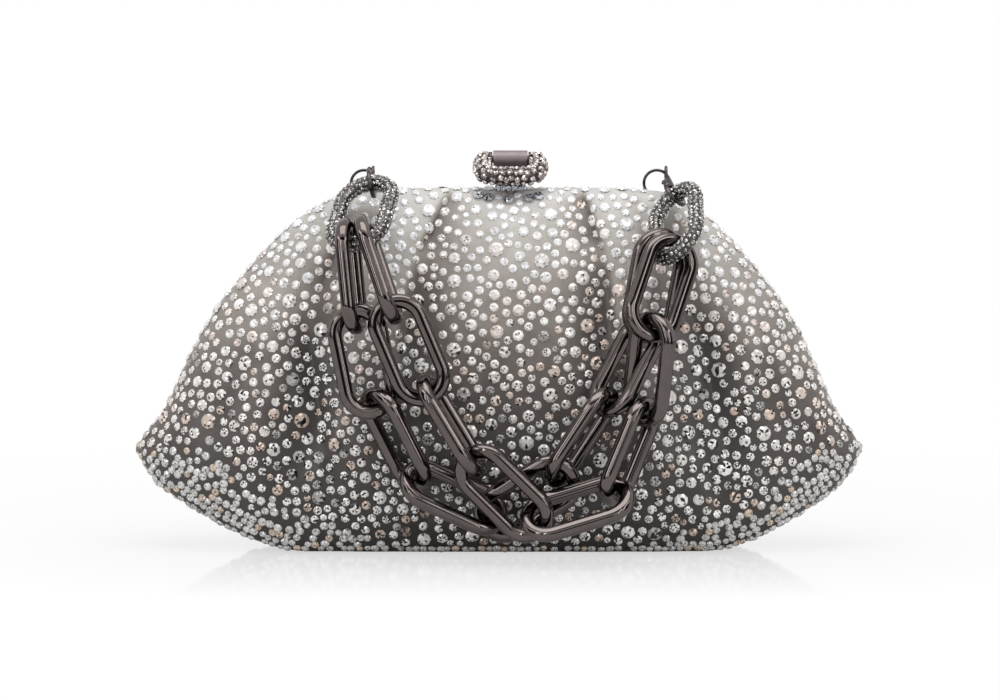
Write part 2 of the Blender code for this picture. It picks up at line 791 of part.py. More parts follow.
class Handle:
    """The two strands of links, let settle from chosen places until no wire touches another."""

    def __init__(self):
        plain = even_points(link_path(link_length, link_width, link_wire, 12), 56)
        jewelled = even_points(
            link_path(jewelled_link_length, jewelled_link_width, jewelled_link_wire, 12), 56
        )
        count_a = len(strand_a_shares)
        count = count_a + len(strand_b_shares) + 2
        last = count - 1
        self.names = ["jewelled_link_left"]
        self.names += [f"link_a{i + 1}" for i in range(count_a)]
        self.names += [f"link_b{i + 1}" for i in range(len(strand_b_shares))]
        self.names += ["jewelled_link_right"]
        self.shapes = np.stack([jewelled if i in (0, last) else plain for i in range(count)])
        self.radii = np.array([(jewelled_link_wire if i in (0, last) else link_wire) / 2 for i in range(count)])
        self.crowns = self.shapes[:, :, 2].max(axis=1)
        self.bends = self.crowns - self.shapes[:, :, 0].max(axis=1)
        self.anchors = {0: np.array(claw_centre("left")), last: np.array(claw_centre("right"))}
        self.centres = np.zeros((count, 3))
        self.turns = np.zeros((count, 3, 3))
        strands = ([0, *range(1, count_a + 1), last], [0, *range(count_a + 1, last), last])
        for members, shares in zip(strands, (strand_a_shares, strand_b_shares)):
            self.thread(members, [left_jewelled_shares, *shares, right_jewelled_shares])
        self.places = self.centres.copy()
        self.guides = self.turns.copy()
        self.pairs = [(i, k) for i in range(count) for k in range(i + 1, count)]
        self.hooks = [pair for members in strands for pair in zip(members, members[1:])]

    def thread(self, members, rows):
        """Threads links along the smooth line through the chosen places, each near its own and within reach."""
        across, down, layers, rolls = np.array(rows).T
        x = across * ring_spacing / 2
        z = body_height - down * handle_drop
        y = front_surface(x, z) - chain_stand_off - link_wire / 2 - layers * link_width / 2
        chosen = np.stack([x, y, z], axis=1)
        line = smooth_line([self.anchors[members[0]], *chosen, self.anchors[members[-1]]])
        steps = np.linalg.norm(np.diff(line, axis=0), axis=1)
        travel = np.concatenate([[0], np.cumsum(steps)])
        reaches = []
        for i, k in zip(members, members[1:]):
            hold = self.radii[i] + self.radii[k] + link_gap
            reaches.append(self.crowns[i] + self.crowns[k] - hold)
        nearest = np.linalg.norm(line[None] - chosen[:, None], axis=2).argmin(axis=1)
        stops = travel[nearest]
        for n, reach in enumerate(reaches):
            stops[n + 1] = min(stops[n + 1], stops[n] + reach)
        for n, reach in reversed(list(enumerate(reaches))):
            stops[n] = max(stops[n], stops[n + 1] - reach)
        for i, stop, roll in zip(members, stops, rolls):
            arm = self.crowns[i] / 2
            place, ahead, behind = (
                np.array([np.interp(at, travel, line[:, axis]) for axis in range(3)])
                for at in (stop, stop + arm, stop - arm)
            )
            self.centres[i] = place
            self.turns[i] = turned(ahead - behind, roll)

    def points(self, i):
        return self.centres[i] + self.shapes[i] @ self.turns[i].T

    def push(self, i, arm, shift):
        """Moves and turns one link so that the point at this arm goes along the shift."""
        swing = link_length / 3
        size = np.linalg.norm(shift)
        if size == 0:
            return
        turn = np.cross(arm, shift) / swing**2
        ease = 1 + np.linalg.norm(np.cross(arm, shift / size)) ** 2 / swing**2
        self.centres[i] += shift / ease
        self.turns[i] = small_turn(turn / ease) @ self.turns[i]

    def part_wires(self, i, k):
        """Pushes two links apart where their wires come closer than the gap."""
        if np.linalg.norm(self.centres[i] - self.centres[k]) > link_length:
            return 1.0
        one = self.points(i)
        two = self.points(k)
        apart = one[:, None, :] - two[None, :, :]
        squares = np.einsum("abc,abc->ab", apart, apart)
        a, b = np.unravel_index(np.argmin(squares), squares.shape)
        distance = math.sqrt(squares[a, b])
        short = self.radii[i] + self.radii[k] + link_gap - distance
        if short > 0:
            shift = apart[a, b] / distance * short / 2
            self.push(i, one[a] - self.centres[i], shift)
            self.push(k, two[b] - self.centres[k], -shift)
        return distance - self.radii[i] - self.radii[k]

    def hook_together(self, i, k, slack):
        """Keeps the crown of each of two neighbours near the middle of the other's end bend."""
        for one, way, two in ((i, 1, k), (k, -1, i)):
            crown = way * self.crowns[one] * self.turns[one][:, 2]
            bend = -way * self.bends[two] * self.turns[two][:, 2]
            apart = self.centres[two] + bend - self.centres[one] - crown
            distance = np.linalg.norm(apart)
            if distance > slack:
                shift = apart / distance * (distance - slack) / 2
                self.push(one, crown, shift)
                self.push(two, bend, -shift)

    def keep_clear(self, i):
        """Keeps a link in front of the fabric and above the floor."""
        points = self.points(i)
        limit = front_surface(points[:, 0], points[:, 2]) - self.radii[i] - chain_stand_off
        deep = points[:, 1] - limit
        worst = int(np.argmax(deep))
        if deep[worst] > 0:
            self.push(i, points[worst] - self.centres[i], np.array((0, -deep[worst], 0)))
        lowest = int(np.argmin(points[:, 2]))
        sunk = self.radii[i] + fit_gap * 2 - points[lowest, 2]
        if sunk > 0:
            self.push(i, points[lowest] - self.centres[i], np.array((0, 0, sunk)))

    def follow_guides(self, i, ease):
        """Draws a link toward its chosen place and heading, and back onto the fabric."""
        pull = (self.places[i] - self.centres[i]) * ease
        pull[1] = link_wire * lean_back_share * ease
        self.centres[i] += pull
        error = sum(np.cross(self.turns[i][:, axis], self.guides[i][:, axis]) for axis in (0, 2))
        self.turns[i] = small_turn(error * ease * 0.5) @ self.turns[i]

    def hold_ends(self):
        """Keeps each jewelled link's upper crown in its claw."""
        for i, anchor in self.anchors.items():
            way = -1 if i == 0 else 1
            crown = way * self.crowns[i] * self.turns[i][:, 2]
            self.push(i, crown, anchor - self.centres[i] - crown)

    def settle(self):
        for step in range(settling_steps):
            guided = step < settling_steps * guided_share
            if guided:
                for i, k in self.hooks:
                    self.hook_together(i, k, link_width / 2 * hook_slack_share)
                for i in range(len(self.names)):
                    self.follow_guides(i, guide_ease_share)
            for _ in range(parting_passes):
                least = min(self.part_wires(i, k) for i, k in self.pairs)
            for i in range(len(self.names)):
                self.keep_clear(i)
            self.hold_ends()
        print(f"least gap between the handle's links: {least * 1000:.2f} mm")


def chain_link(name, shape, centre, turn, material):
    length, width, wire = shape
    path = link_path(length, width, wire, 8)
    link = make_object(name, tube(path, [wire / 2] * len(path), 8, closed=True), material)
    link.matrix_world = Matrix.Translation(centre) @ Matrix(turn.tolist()).to_4x4()
    return link


def set_origin(obj, point):
    obj.data.transform(Matrix.Translation(-point))
    obj.location = point


def empty_at(name, point, parent=None):
    empty = bpy.data.objects.new(name, None)
    empty.location = point
    bpy.context.scene.collection.objects.link(empty)
    empty.parent = parent
    return empty


def hang_on(carrier, objects):
    """Parents the objects, and the guides that shape them, to a carrier without moving them."""
    for obj in objects:
        for piece in [obj] + [modifier.object for modifier in obj.modifiers if modifier.type == "BOOLEAN"]:
            if piece.parent is None:
                piece.parent = carrier
                piece.matrix_parent_inverse = carrier.matrix_world.inverted()


def stand_on_middle(root):
    """Moves the whole bag so that the middle of its underside is at the world's origin."""
    bpy.context.view_layer.update()
    graph = bpy.context.evaluated_depsgraph_get()
    corners = []
    for obj in bpy.context.scene.objects:
        if obj.type == "MESH" and not obj.hide_render:
            shown = obj.evaluated_get(graph)
            corners += [shown.matrix_world @ vert.co for vert in shown.data.vertices]
    low = [min(corner[axis] for corner in corners) for axis in range(3)]
    high = [max(corner[axis] for corner in corners) for axis in range(3)]
    root.location = (-(low[0] + high[0]) / 2, -(low[1] + high[1]) / 2, -low[2])


def build():
    clear_scene()
    fabric_light = make_material("satin, pale grey", (0.55, 0.54, 0.55), 0.5, 0.1)
    fabric_dark = make_material("satin, dark taupe", (0.13, 0.12, 0.12), 0.5, 0.1)
    satin_lining = make_material("lining satin", (0.35, 0.34, 0.35), 0.6, 0.0)
    board = make_material("grey board", (0.30, 0.29, 0.28), 0.9, 0.0)
    gunmetal = make_material("polished gunmetal", (0.12, 0.11, 0.115), 0.18, 1.0)
    satin_metal = make_material("satin gunmetal", (0.26, 0.24, 0.245), 0.35, 1.0)
    jewelled = make_material("gunmetal set with stones", (0.17, 0.165, 0.16), 0.4, 0.8)

    handle = Handle()
    handle.settle()

    front = front_panel(fabric_light)
    upper = back_panel_upper(fabric_light)
    lower = back_panel_lower(fabric_light)
    base = base_panel(fabric_dark)
    stiffener = base_board(board)
    pouch = lining(satin_lining)
    front_frame = frame_half("front_frame", -1, satin_metal)
    back_frame = frame_half("back_frame", 1, satin_metal)
    pins = [hinge_pin("hinge_pin_left", -1, satin_metal), hinge_pin("hinge_pin_right", 1, satin_metal)]

    ring, pin_place = clasp_ring(jewelled)
    barrel = clasp_barrel(pin_place, satin_metal)
    seat = clasp_seat(pin_place, satin_metal)
    cut_post_holes(front, upper, satin_metal)
    cut_ring_slots(front, upper, satin_metal)
    set_origin(ring, pin_place)

    sides = ("left", "right")
    brackets = [ring_bracket(side, satin_metal) for side in sides]
    rings = [carrying_ring(side, satin_metal) for side in sides]
    for side, carrier in zip(sides, rings):
        set_origin(carrier, Vector((ring_places()[side], 0, ring_bracket_height)))

    links = []
    for i, name in enumerate(handle.names):
        shape = (link_length, link_width, link_wire)
        material = gunmetal
        if name.startswith("jewelled"):
            shape = (jewelled_link_length, jewelled_link_width, jewelled_link_wire)
            material = jewelled
        links.append(chain_link(name, shape, Vector(handle.centres[i]), handle.turns[i], material))

    fittings = []
    for side, turn in (("left", handle.turns[0]), ("right", handle.turns[-1])):
        axes = clasp_axes(side, Vector(turn[:, 0]))
        fittings.append(lobster_clasp(side, axes, satin_metal))
        fittings.append(trigger(side, axes, satin_metal))

    root = empty_at("clutch", Vector((0, 0, 0)))
    back_hinge = empty_at("back_frame_hinge", Vector((0, 0, hinge_height)), root)
    handle_hinge = empty_at("handle_hinge", Vector((0, 0, hang_point("left").z)), root)
    bpy.context.view_layer.update()
    hang_on(back_hinge, [upper, back_frame, barrel, ring])
    hang_on(handle_hinge, links + fittings)
    hang_on(root, [front, lower, base, stiffener, pouch, front_frame, seat, *pins, *brackets, *rings])
    stand_on_middle(root)


build()
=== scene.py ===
import json
import math
import bpy
import numpy as np
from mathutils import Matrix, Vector


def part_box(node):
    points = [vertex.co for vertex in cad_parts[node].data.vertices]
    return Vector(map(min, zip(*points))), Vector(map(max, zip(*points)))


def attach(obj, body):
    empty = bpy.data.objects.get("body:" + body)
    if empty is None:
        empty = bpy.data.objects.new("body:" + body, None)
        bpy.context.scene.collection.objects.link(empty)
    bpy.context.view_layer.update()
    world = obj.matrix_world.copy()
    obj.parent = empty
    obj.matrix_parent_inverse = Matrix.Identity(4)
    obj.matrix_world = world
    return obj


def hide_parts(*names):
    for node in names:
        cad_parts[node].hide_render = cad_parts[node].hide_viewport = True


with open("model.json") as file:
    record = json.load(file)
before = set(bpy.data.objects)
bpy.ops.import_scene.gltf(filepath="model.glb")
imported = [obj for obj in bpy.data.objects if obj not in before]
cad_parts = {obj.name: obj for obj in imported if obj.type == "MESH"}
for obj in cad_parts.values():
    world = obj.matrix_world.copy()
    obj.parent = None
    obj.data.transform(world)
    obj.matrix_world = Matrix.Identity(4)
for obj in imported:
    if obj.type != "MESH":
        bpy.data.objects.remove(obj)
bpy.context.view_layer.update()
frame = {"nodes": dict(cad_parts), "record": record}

# Evening clutch covered in crystals, with a ring clasp and a two-strand gunmetal chain handle.
# Metres throughout. X is left to right as the front is seen, Y goes away from the viewer, Z is up.
# The bag's own middle lies at the hinge line, a little beside the middle of the whole box.

jointPlaces = {joint["name"]: Vector(joint["pos_m"]) for joint in frame["record"]["behaviour"]["joints"]}
bagMiddle = np.array((jointPlaces["back_frame_hinge"].x, jointPlaces["back_frame_hinge"].y, 0.0))
hingeHeight = jointPlaces["back_frame_hinge"].z
mm = 0.001


def linearColour(hexText):
    # from an sRGB hex value to the linear colour that a socket takes
    values = [int(hexText[i:i + 2], 16) / 255 for i in (1, 3, 5)]
    return tuple(v / 12.92 if v <= 0.04045 else ((v + 0.055) / 1.055) ** 2.4 for v in values) + (1.0,)


def addNode(tree, kind, settings=None, inputs=None):
    made = tree.nodes.new(kind)
    for name, value in (settings or {}).items():
        setattr(made, name, value)
    for name, value in (inputs or {}).items():
        if isinstance(value, bpy.types.NodeSocket):
            tree.links.new(value, made.inputs[name])
        else:
            made.inputs[name].default_value = value
    return made


def newMaterial(name, **shaderInputs):
    material = bpy.data.materials.new(name)
    material.use_nodes = True
    tree = material.node_tree
    shader = tree.nodes["Principled BSDF"]
    for socket, value in shaderInputs.items():
        shader.inputs[socket.replace("_", " ")].default_value = value
    return material, tree, shader


def setRamp(ramp, stops):
    elements = ramp.color_ramp.elements
    while len(elements) < len(stops):
        elements.new(0.5)
    for element, (place, colour) in zip(elements, stops):
        element.position = place
        element.color = linearColour(colour)


def newPiece(name, verts, faces, material, body, smoothAngle=None):
    mesh = bpy.data.meshes.new(name)
    mesh.from_pydata([tuple(v) for v in verts], [], [tuple(f) for f in faces])
    mesh.validate()
    mesh.update()
    if smoothAngle != 0:
        mesh.shade_smooth()
    if smoothAngle:
        mesh.set_sharp_from_angle(angle=math.radians(smoothAngle))
    mesh.materials.append(material)
    obj = bpy.data.objects.new(name, mesh)
    bpy.context.scene.collection.objects.link(obj)
    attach(obj, body)
    return obj


# Camera, at the photograph's angle: low, from the front, through a long lens
cameraSetup = {"distance": 1.60, "elevation": 6.0, "imageWidth": 0.3270, "aimX": -0.0034, "aimZ": 0.0641,
               "sensor": 36, "clipStart": 0.05, "clipEnd": 60}


def makeCamera():
    setup = cameraSetup
    data = bpy.data.cameras.new("camera")
    data.sensor_width = setup["sensor"]
    data.lens = setup["sensor"] * setup["distance"] / setup["imageWidth"]
    data.clip_start = setup["clipStart"]
    data.clip_end = setup["clipEnd"]
    camera = bpy.data.objects.new("camera", data)
    bpy.context.scene.collection.objects.link(camera)
    tilt = math.radians(setup["elevation"])
    aim = Vector(bagMiddle) + Vector((setup["aimX"], 0, setup["aimZ"]))
    camera.location = aim + Vector((0, -math.cos(tilt), math.sin(tilt))) * setup["distance"]
    camera.rotation_euler = (math.pi / 2 - tilt, 0, 0)
    bpy.context.scene.camera = camera


makeCamera()
print("camera set")

# The body's shape, the same named sizes as the part's source
bodySize = {
    "height": 0.1172, "leftReach": 0.1215, "rightReach": 0.1140, "depth": 0.0570, "wall": 0.0012,
    "seam": 0.0004, "widest": 0.72, "fullness": 0.60, "baseDepth": 0.60, "baseStart": 0.90,
    "noseStart": 0.93, "noseEnd": 0.998, "smoothing": 0.02, "hingeReach": 0.0660, "overreach": 0.0036,
    "fit": 0.0003, "lipBulge": 0.0026, "lipTuck": 0.0014, "lipSpread": 0.0120, "lipFade": 0.0080,
    "lipOverlap": 0.0035, "calmDepth": 0.006,
}
topOutline = (
    (0.00, 1.000), (0.30, 1.000), (0.44, 0.990), (0.51, 0.955), (0.585, 0.905), (0.63, 0.858),
    (0.68, 0.805), (0.72, 0.755), (0.775, 0.690), (0.81, 0.630), (0.85, 0.560), (0.89, 0.470),
    (0.92, 0.400), (0.95, 0.350), (1.00, 0.330),
)
bottomOutline = (
    (0.00, 0.000), (0.56, 0.000), (0.62, 0.008), (0.70, 0.035), (0.80, 0.085), (0.865, 0.125),
    (0.915, 0.155), (0.95, 0.180), (1.00, 0.215),
)
# Broad pleats: place at the top and the bottom, width and depth, as shares
broadPleats = (
    (-0.17, -0.33, 0.10, 0.080), (-0.46, -0.56, 0.16, 0.120), (-0.30, -0.45, 0.12, -0.040),
    (0.20, 0.32, 0.10, 0.080), (0.44, 0.58, 0.18, 0.115), (0.33, 0.46, 0.12, -0.040),
)
# Crisp folds in the satin: from x, z to x, z, then depth, width of the sharp and of the soft side, in mm.
# The sign of the sharp width says which side it is on.
frontFolds = (
    (-19, 117, -30, 96, 3.2, -1.2, 6.5), (-30, 96, -36, 62, 2.0, -1.7, 7.0),
    (23, 117, 30, 96, 3.2, 1.2, 6.5), (30, 96, 33, 66, 2.2, 1.6, 7.0),
    (-50, 112, -62, 84, 1.6, -2.2, 6.0), (-66, 74, -58, 24, 2.0, 2.4, 8.0),
    (52, 112, 60, 84, 1.4, 2.2, 6.0), (58, 80, 72, 26, 2.2, -2.6, 9.0),
    (-52, 48, -68, 16, -1.6, 2.5, 4.5), (57, 34, 68, 8, -1.6, 2.5, 4.5),
    (-84, 70, -96, 34, 1.2, 2.6, 7.0), (84, 66, 96, 34, 1.2, 2.6, 7.0),
    (-40, 116, -46, 98, 1.1, 1.8, 4.0), (40, 116, 45, 98, 1.1, 1.8, 4.0),
    (8, 20, 14, 4, 0.7, 2.0, 5.0), (-22, 22, -30, 5, 0.8, 2.0, 5.0),
)
# how far down the pleats run, in shares of the height
pleatRun = {"start": 0.02, "span": 0.86, "ease": 0.7, "spread": 0.6}
# how the folds sit on the back, and how they fade at either end, in shares of their length
foldRun = {"backTop": 0.93, "backFoot": 1.05, "lead": 0.12, "rise": 0.35, "end": 1.15, "fall": 0.5,
           "crispness": 1.35}
# the slight unevenness of stretched cloth: two crossing waves along x and z per mm, and their depth in mm
clothRipple = {"first": (0.31, 0.05), "second": (0.023, 0.11), "depth": 0.25}


def shareAt(table, place):
    across = [row[0] for row in table]
    values = [row[1] for row in table]
    offsets = np.linspace(-bodySize["smoothing"], bodySize["smoothing"], 5)
    place = np.asarray(place, float)
    return sum(np.interp(np.abs(place + offset), across, values) for offset in offsets) / len(offsets)


def profileShare(down):
    size = bodySize
    upper = np.sin(np.pi / 2 * np.clip(down / size["widest"], 0, 1)) ** size["fullness"]
    under = np.clip((down - size["widest"]) / (1 - size["widest"]), 0, 1)
    lower = size["baseDepth"] + (1 - size["baseDepth"]) * np.sqrt(1 - under ** 2)
    return np.where(down <= size["widest"], upper, lower)


def bodyLevels(place):
    size = bodySize
    along = np.abs(place)
    top = shareAt(topOutline, along) * size["height"]
    bottom = shareAt(bottomOutline, along) * size["height"]
    over = np.clip((along - size["noseStart"]) / (1 - size["noseStart"]), 0, 1)
    half = (top - bottom) / 2 * np.sqrt(1 - over ** 2)
    depth = size["depth"] / 2 * (1 - np.minimum(along, 1) ** 3.0) ** 0.5
    return (top + bottom) / 2, half, depth


def broadInset(place, down):
    run = pleatRun
    drawn = 0
    window = np.sin(np.pi * np.clip((down - run["start"]) / run["span"], 0, 1)) ** run["ease"]
    for topPlace, bottomPlace, width, depth in broadPleats:
        middle = topPlace + (bottomPlace - topPlace) * down
        drawn = drawn + depth * np.exp(-(((place - middle) / (width * run["spread"])) ** 2))
    return drawn * window


def foldInset(x, z, side):
    run = foldRun
    drawn = np.zeros(np.broadcast(x, z).shape)
    for x0, z0, x1, z1, depth, sharp, soft in frontFolds:
        if side > 0:
            x0, x1 = -x0 * run["backTop"], -x1 * run["backFoot"]
        dx, dz = x1 - x0, z1 - z0
        length = math.hypot(dx, dz)
        alongShare = ((x / mm - x0) * dx + (z / mm - z0) * dz) / length ** 2
        aside = ((x / mm - x0) * dz - (z / mm - z0) * dx) / length
        flip = -1 if sharp < 0 else 1
        aside = aside * flip
        width = np.where(aside > 0, soft, abs(sharp))
        fade = np.clip((alongShare + run["lead"]) / run["rise"], 0, 1)
        fade = fade * np.clip((run["end"] - alongShare) / run["fall"], 0, 1)
        fade = fade * fade * (3 - 2 * fade)
        drawn += depth * mm * np.exp(-np.abs(aside / width) ** run["crispness"]) * fade
    return drawn


def bodyPoint(place, down, side, inset=0.0):
    size = bodySize
    place = np.asarray(place, float)
    down = np.asarray(down, float) + 0 * place
    reach = np.where(place < 0, size["leftReach"], size["rightReach"]) - inset
    middle, half, depth = bodyLevels(place)
    half = half - (inset * np.minimum(1, half / (4 * inset)) if inset else 0)
    across = depth * profileShare(down) * (1 - broadInset(place, down))
    thin = depth - (inset * np.minimum(1, depth / (4 * inset)) if inset else 0)
    inner = thin / np.maximum(depth, 1e-9) * across
    x = place * reach
    z = middle + half * (1 - 2 * down)
    # folds and ripples die away where the two sides come together
    calm = np.clip(inner / size["calmDepth"], 0, 1)
    inner = inner - foldInset(x, z, side) * calm
    (a, b), (c, d) = clothRipple["first"], clothRipple["second"]
    ripple = np.sin(x / mm * a + z / mm * b) * np.sin(z / mm * d + x / mm * c)
    inner = inner + ripple * clothRipple["depth"] * mm * calm
    return x, side * (inner + size["seam"] / 2), z


def sheetFaces(rows, columns, offset=0, flip=False):
    faces = []
    for i in range(rows - 1):
        for j in range(columns - 1):
            a = offset + i * columns + j
            face = (a, a + 1, a + columns + 1, a + columns)
            faces.append(face[::-1] if flip else face)
    return faces


def shellFromGrids(outer, inner, flip):
    rows, columns = outer.shape[:2]
    verts = np.concatenate([outer.reshape(-1, 3), inner.reshape(-1, 3)]) + bagMiddle
    faces = sheetFaces(rows, columns, 0, flip) + sheetFaces(rows, columns, rows * columns, not flip)
    rim = [i * columns for i in range(rows)] + [(rows - 1) * columns + j for j in range(1, columns)]
    rim += [i * columns + columns - 1 for i in range(rows - 2, -1, -1)] + list(range(columns - 2, 0, -1))
    total = rows * columns
    for a, b in zip(rim, rim[1:] + rim[:1]):
        face = (a, b, b + total, a + total)
        faces.append(face[::-1] if flip else face)
    return verts, faces


# Ombre satin: a tightly woven polyester satin, sprayed from pale silver at the top to dark taupe at the
# foot, with painted shade darker where the pleats fold in. It gives the eye a soft sheen along the folds
# and a fine grain.
satinFinish = {
    "colours": [(0.0, "#231e1d"), (0.20, "#2f2a28"), (0.40, "#423b38"), (0.55, "#5e5651"),
                (0.70, "#878079"), (0.85, "#a7a19b"), (1.0, "#c2bfbb")],
    "threadSpacing": 0.50, "roughness": 0.38, "grain": 0.07, "blotch": 0.05,
}
# how the dye goes on, paler toward the tips, and the painted shade, darker in the broad pleats and in each
# mm of a fold
dyeAndShadeRule = {"tipLift": 0.20, "tipPower": 1.5, "pleatPaintedShade": 1.6, "foldPaintedShade": 0.11}


def dyeAndPaintedShade(x, z, side):
    # how pale the dye is at a place, paler upward and toward the tips, with painted shade darker inside the
    # pleats
    reach = np.where(x < 0, bodySize["leftReach"], bodySize["rightReach"])
    place = np.clip(x / reach, -1, 1)
    middle, half, _ = bodyLevels(place)
    down = np.clip((middle + half - z) / (2 * np.maximum(half, 1e-6)), 0, 1)
    share = z / bodySize["height"]
    rule = dyeAndShadeRule
    lift = rule["tipLift"] * np.abs(place) ** rule["tipPower"] * (1 - share)
    # painted shade: the broad pleats and the crisp folds are drawn darker in the colour, where shade falls
    paintedValleyShade = rule["pleatPaintedShade"] * np.maximum(broadInset(place, down), 0)
    paintedValleyShade = paintedValleyShade + rule["foldPaintedShade"] * foldInset(x, z, side) / mm
    return np.clip(share + lift - paintedValleyShade, 0, 1)


def satinMaterial(name, finish, painted=True):
    material, tree, shader = newMaterial(
        name, Roughness=finish["roughness"], Sheen_Weight=0.20, Sheen_Roughness=0.35)
    where = addNode(tree, "ShaderNodeTexCoord")
    cloud = addNode(tree, "ShaderNodeTexNoise", inputs={
        "Vector": where.outputs["Object"], "Scale": 90.0, "Detail": 3.0, "Roughness": 0.55})
    drift = addNode(tree, "ShaderNodeMapRange", inputs={
        "Value": cloud.outputs["Fac"], "From Min": 0.3, "From Max": 0.7,
        "To Min": -finish["blotch"], "To Max": finish["blotch"]})
    if painted:
        # the dye's share together with the painted shade of the pleats and folds
        dyeAndShade = addNode(tree, "ShaderNodeAttribute", {"attribute_name": "dyeAndPaintedShade"})
        mixed = addNode(tree, "ShaderNodeMath", {"operation": "ADD"}, {
            0: dyeAndShade.outputs["Fac"], 1: drift.outputs["Result"]})
    else:
        mixed = addNode(tree, "ShaderNodeMath", {"operation": "ADD"}, {0: 0.5, 1: drift.outputs["Result"]})
    ramp = addNode(tree, "ShaderNodeValToRGB", inputs={"Fac": mixed.outputs["Value"]})
    setRamp(ramp, finish["colours"])
    # thread spacing is drawn at 0.5 mm, coarser than the real 0.15 mm, so that it shows
    # a Wave texture repeats every 2 pi / 20 of its scale
    scale = 2 * math.pi / 20 / (finish["threadSpacing"] * mm)
    warp = addNode(tree, "ShaderNodeTexWave", {"wave_type": "BANDS", "bands_direction": "X"}, {
        "Vector": where.outputs["Object"], "Scale": scale, "Distortion": 0.8, "Detail": 1.0})
    weft = addNode(tree, "ShaderNodeTexWave", {"wave_type": "BANDS", "bands_direction": "Z"}, {
        "Vector": where.outputs["Object"], "Scale": scale, "Distortion": 0.8, "Detail": 1.0})
    weave = addNode(tree, "ShaderNodeMath", {"operation": "MULTIPLY"}, {
        0: warp.outputs["Fac"], 1: weft.outputs["Fac"]})
    shade = addNode(tree, "ShaderNodeMapRange", inputs={
        "Value": weave.outputs["Value"], "To Min": 1 - finish["grain"], "To Max": 1 + finish["grain"]})
    tinted = addNode(tree, "ShaderNodeVectorMath", {"operation": "SCALE"}, {
        0: ramp.outputs["Color"], "Scale": shade.outputs["Result"]})
    tree.links.new(tinted.outputs["Vector"], shader.inputs["Base Color"])
    crease = addNode(tree, "ShaderNodeTexNoise", inputs={
        "Vector": where.outputs["Object"], "Scale": 260.0, "Detail": 2.0, "Roughness": 0.5})
    bumpHeight = addNode(tree, "ShaderNodeMath", {"operation": "ADD"}, {
        0: weave.outputs["Value"], 1: crease.outputs["Fac"]})
    bump = addNode(tree, "ShaderNodeBump", inputs={
        "Height": bumpHeight.outputs["Value"], "Strength": 0.25, "Distance": 0.00012})
    tree.links.new(bump.outputs["Normal"], shader.inputs["Normal"])
    return material


satin = satinMaterial("ombre satin", satinFinish)
liningFinish = dict(satinFinish, colours=[(0.3, "#77716f"), (0.7, "#8d8785")], roughness=0.36, blotch=0.2)
liningSatin = satinMaterial("lining satin", liningFinish, painted=False)


# Fabric walls
fabricDetail = {"columns": 330, "rows": 150, "lowerRows": 120, "upperColumns": 200, "upperRows": 40,
                "baseRows": 18, "underRows": 24, "spacingTowardTips": 0.45,
                "edgeClear": 0.4, "edgeStep": 0.03}  # the last two in mm, at the ends of the back's opening


def placesAcross(count, low=-1.0, high=1.0):
    even = np.linspace(-1, 1, count)
    share = fabricDetail["spacingTowardTips"]
    curve = (1 - share) * even + share * np.sin(even * math.pi / 2)
    return (low + (curve + 1) / 2 * (high - low)) * bodySize["noseEnd"]


def stacked(x, y, z):
    return np.stack(np.broadcast_arrays(x, y, z), axis=-1)


def frontGrid(inset):
    places = placesAcross(fabricDetail["columns"])
    downs = bodySize["baseStart"] * np.linspace(0, 1, fabricDetail["rows"]) ** 1.5
    return stacked(*bodyPoint(places[None, :], downs[:, None], -1, inset))


def lipShift(z):
    return np.exp(-(((z - hingeHeight) / bodySize["lipSpread"]) ** 2))


def backLowerGrid(inset):
    size = bodySize
    clear = fabricDetail["edgeClear"] * mm
    step = fabricDetail["edgeStep"] * mm
    edge = size["hingeReach"] + size["overreach"]
    places = set(placesAcross(fabricDetail["columns"]))
    for end, reach in ((-1, size["leftReach"]), (1, size["rightReach"])):
        places = {place for place in places if abs(place * reach - end * edge) > clear}
        places |= {end * (edge - step) / reach, end * (edge + step) / reach}
    places = np.array(sorted(places))
    reach = np.where(places < 0, size["leftReach"], size["rightReach"])
    middle, half, _ = bodyLevels(places)
    inside = edge - np.abs(places * reach)
    start = np.where(inside > 0, np.clip((middle + half - hingeHeight) / (2 * half), 0, 1), 0)
    fade = np.clip(inside / size["lipFade"], 0, 1)
    shares = np.linspace(0, 1, fabricDetail["lowerRows"])[:, None] ** 1.25
    downs = start + (size["baseStart"] - start) * shares
    x, y, z = bodyPoint(places[None, :], downs, 1, inset)
    return stacked(x, y + size["lipBulge"] * fade * lipShift(z), z)


def backUpperGrid(inset):
    size = bodySize
    edge = size["hingeReach"] + size["overreach"] - 3 * size["fit"]
    xs = np.linspace(-edge, edge, fabricDetail["upperColumns"])
    places = xs / np.where(xs < 0, size["leftReach"], size["rightReach"])
    middle, half, _ = bodyLevels(places)
    lowest = hingeHeight - size["lipOverlap"]
    last = (middle + half - lowest) / (2 * half)
    shares = np.linspace(0, 1, fabricDetail["upperRows"])[:, None]
    _, y, z = bodyPoint(places[None, :], last * shares ** 1.3, 1, inset)
    y = y - size["lipTuck"] * lipShift(z) * shares
    return stacked(np.broadcast_to(xs, y.shape), y, np.maximum(z, lowest))


def baseGrid(inset):
    size = bodySize
    places = placesAcross(fabricDetail["columns"])
    downs = np.linspace(size["baseStart"], 1, fabricDetail["baseRows"])
    front = stacked(*bodyPoint(places[None, :], downs[:, None], -1, inset))
    back = stacked(*bodyPoint(places[None, :], downs[::-1, None], 1, inset))
    share = np.linspace(0, 1, fabricDetail["underRows"])[1:-1, None, None]
    under = front[-1][None] * (1 - share) + back[0][None] * share
    return np.concatenate([front, under, back])


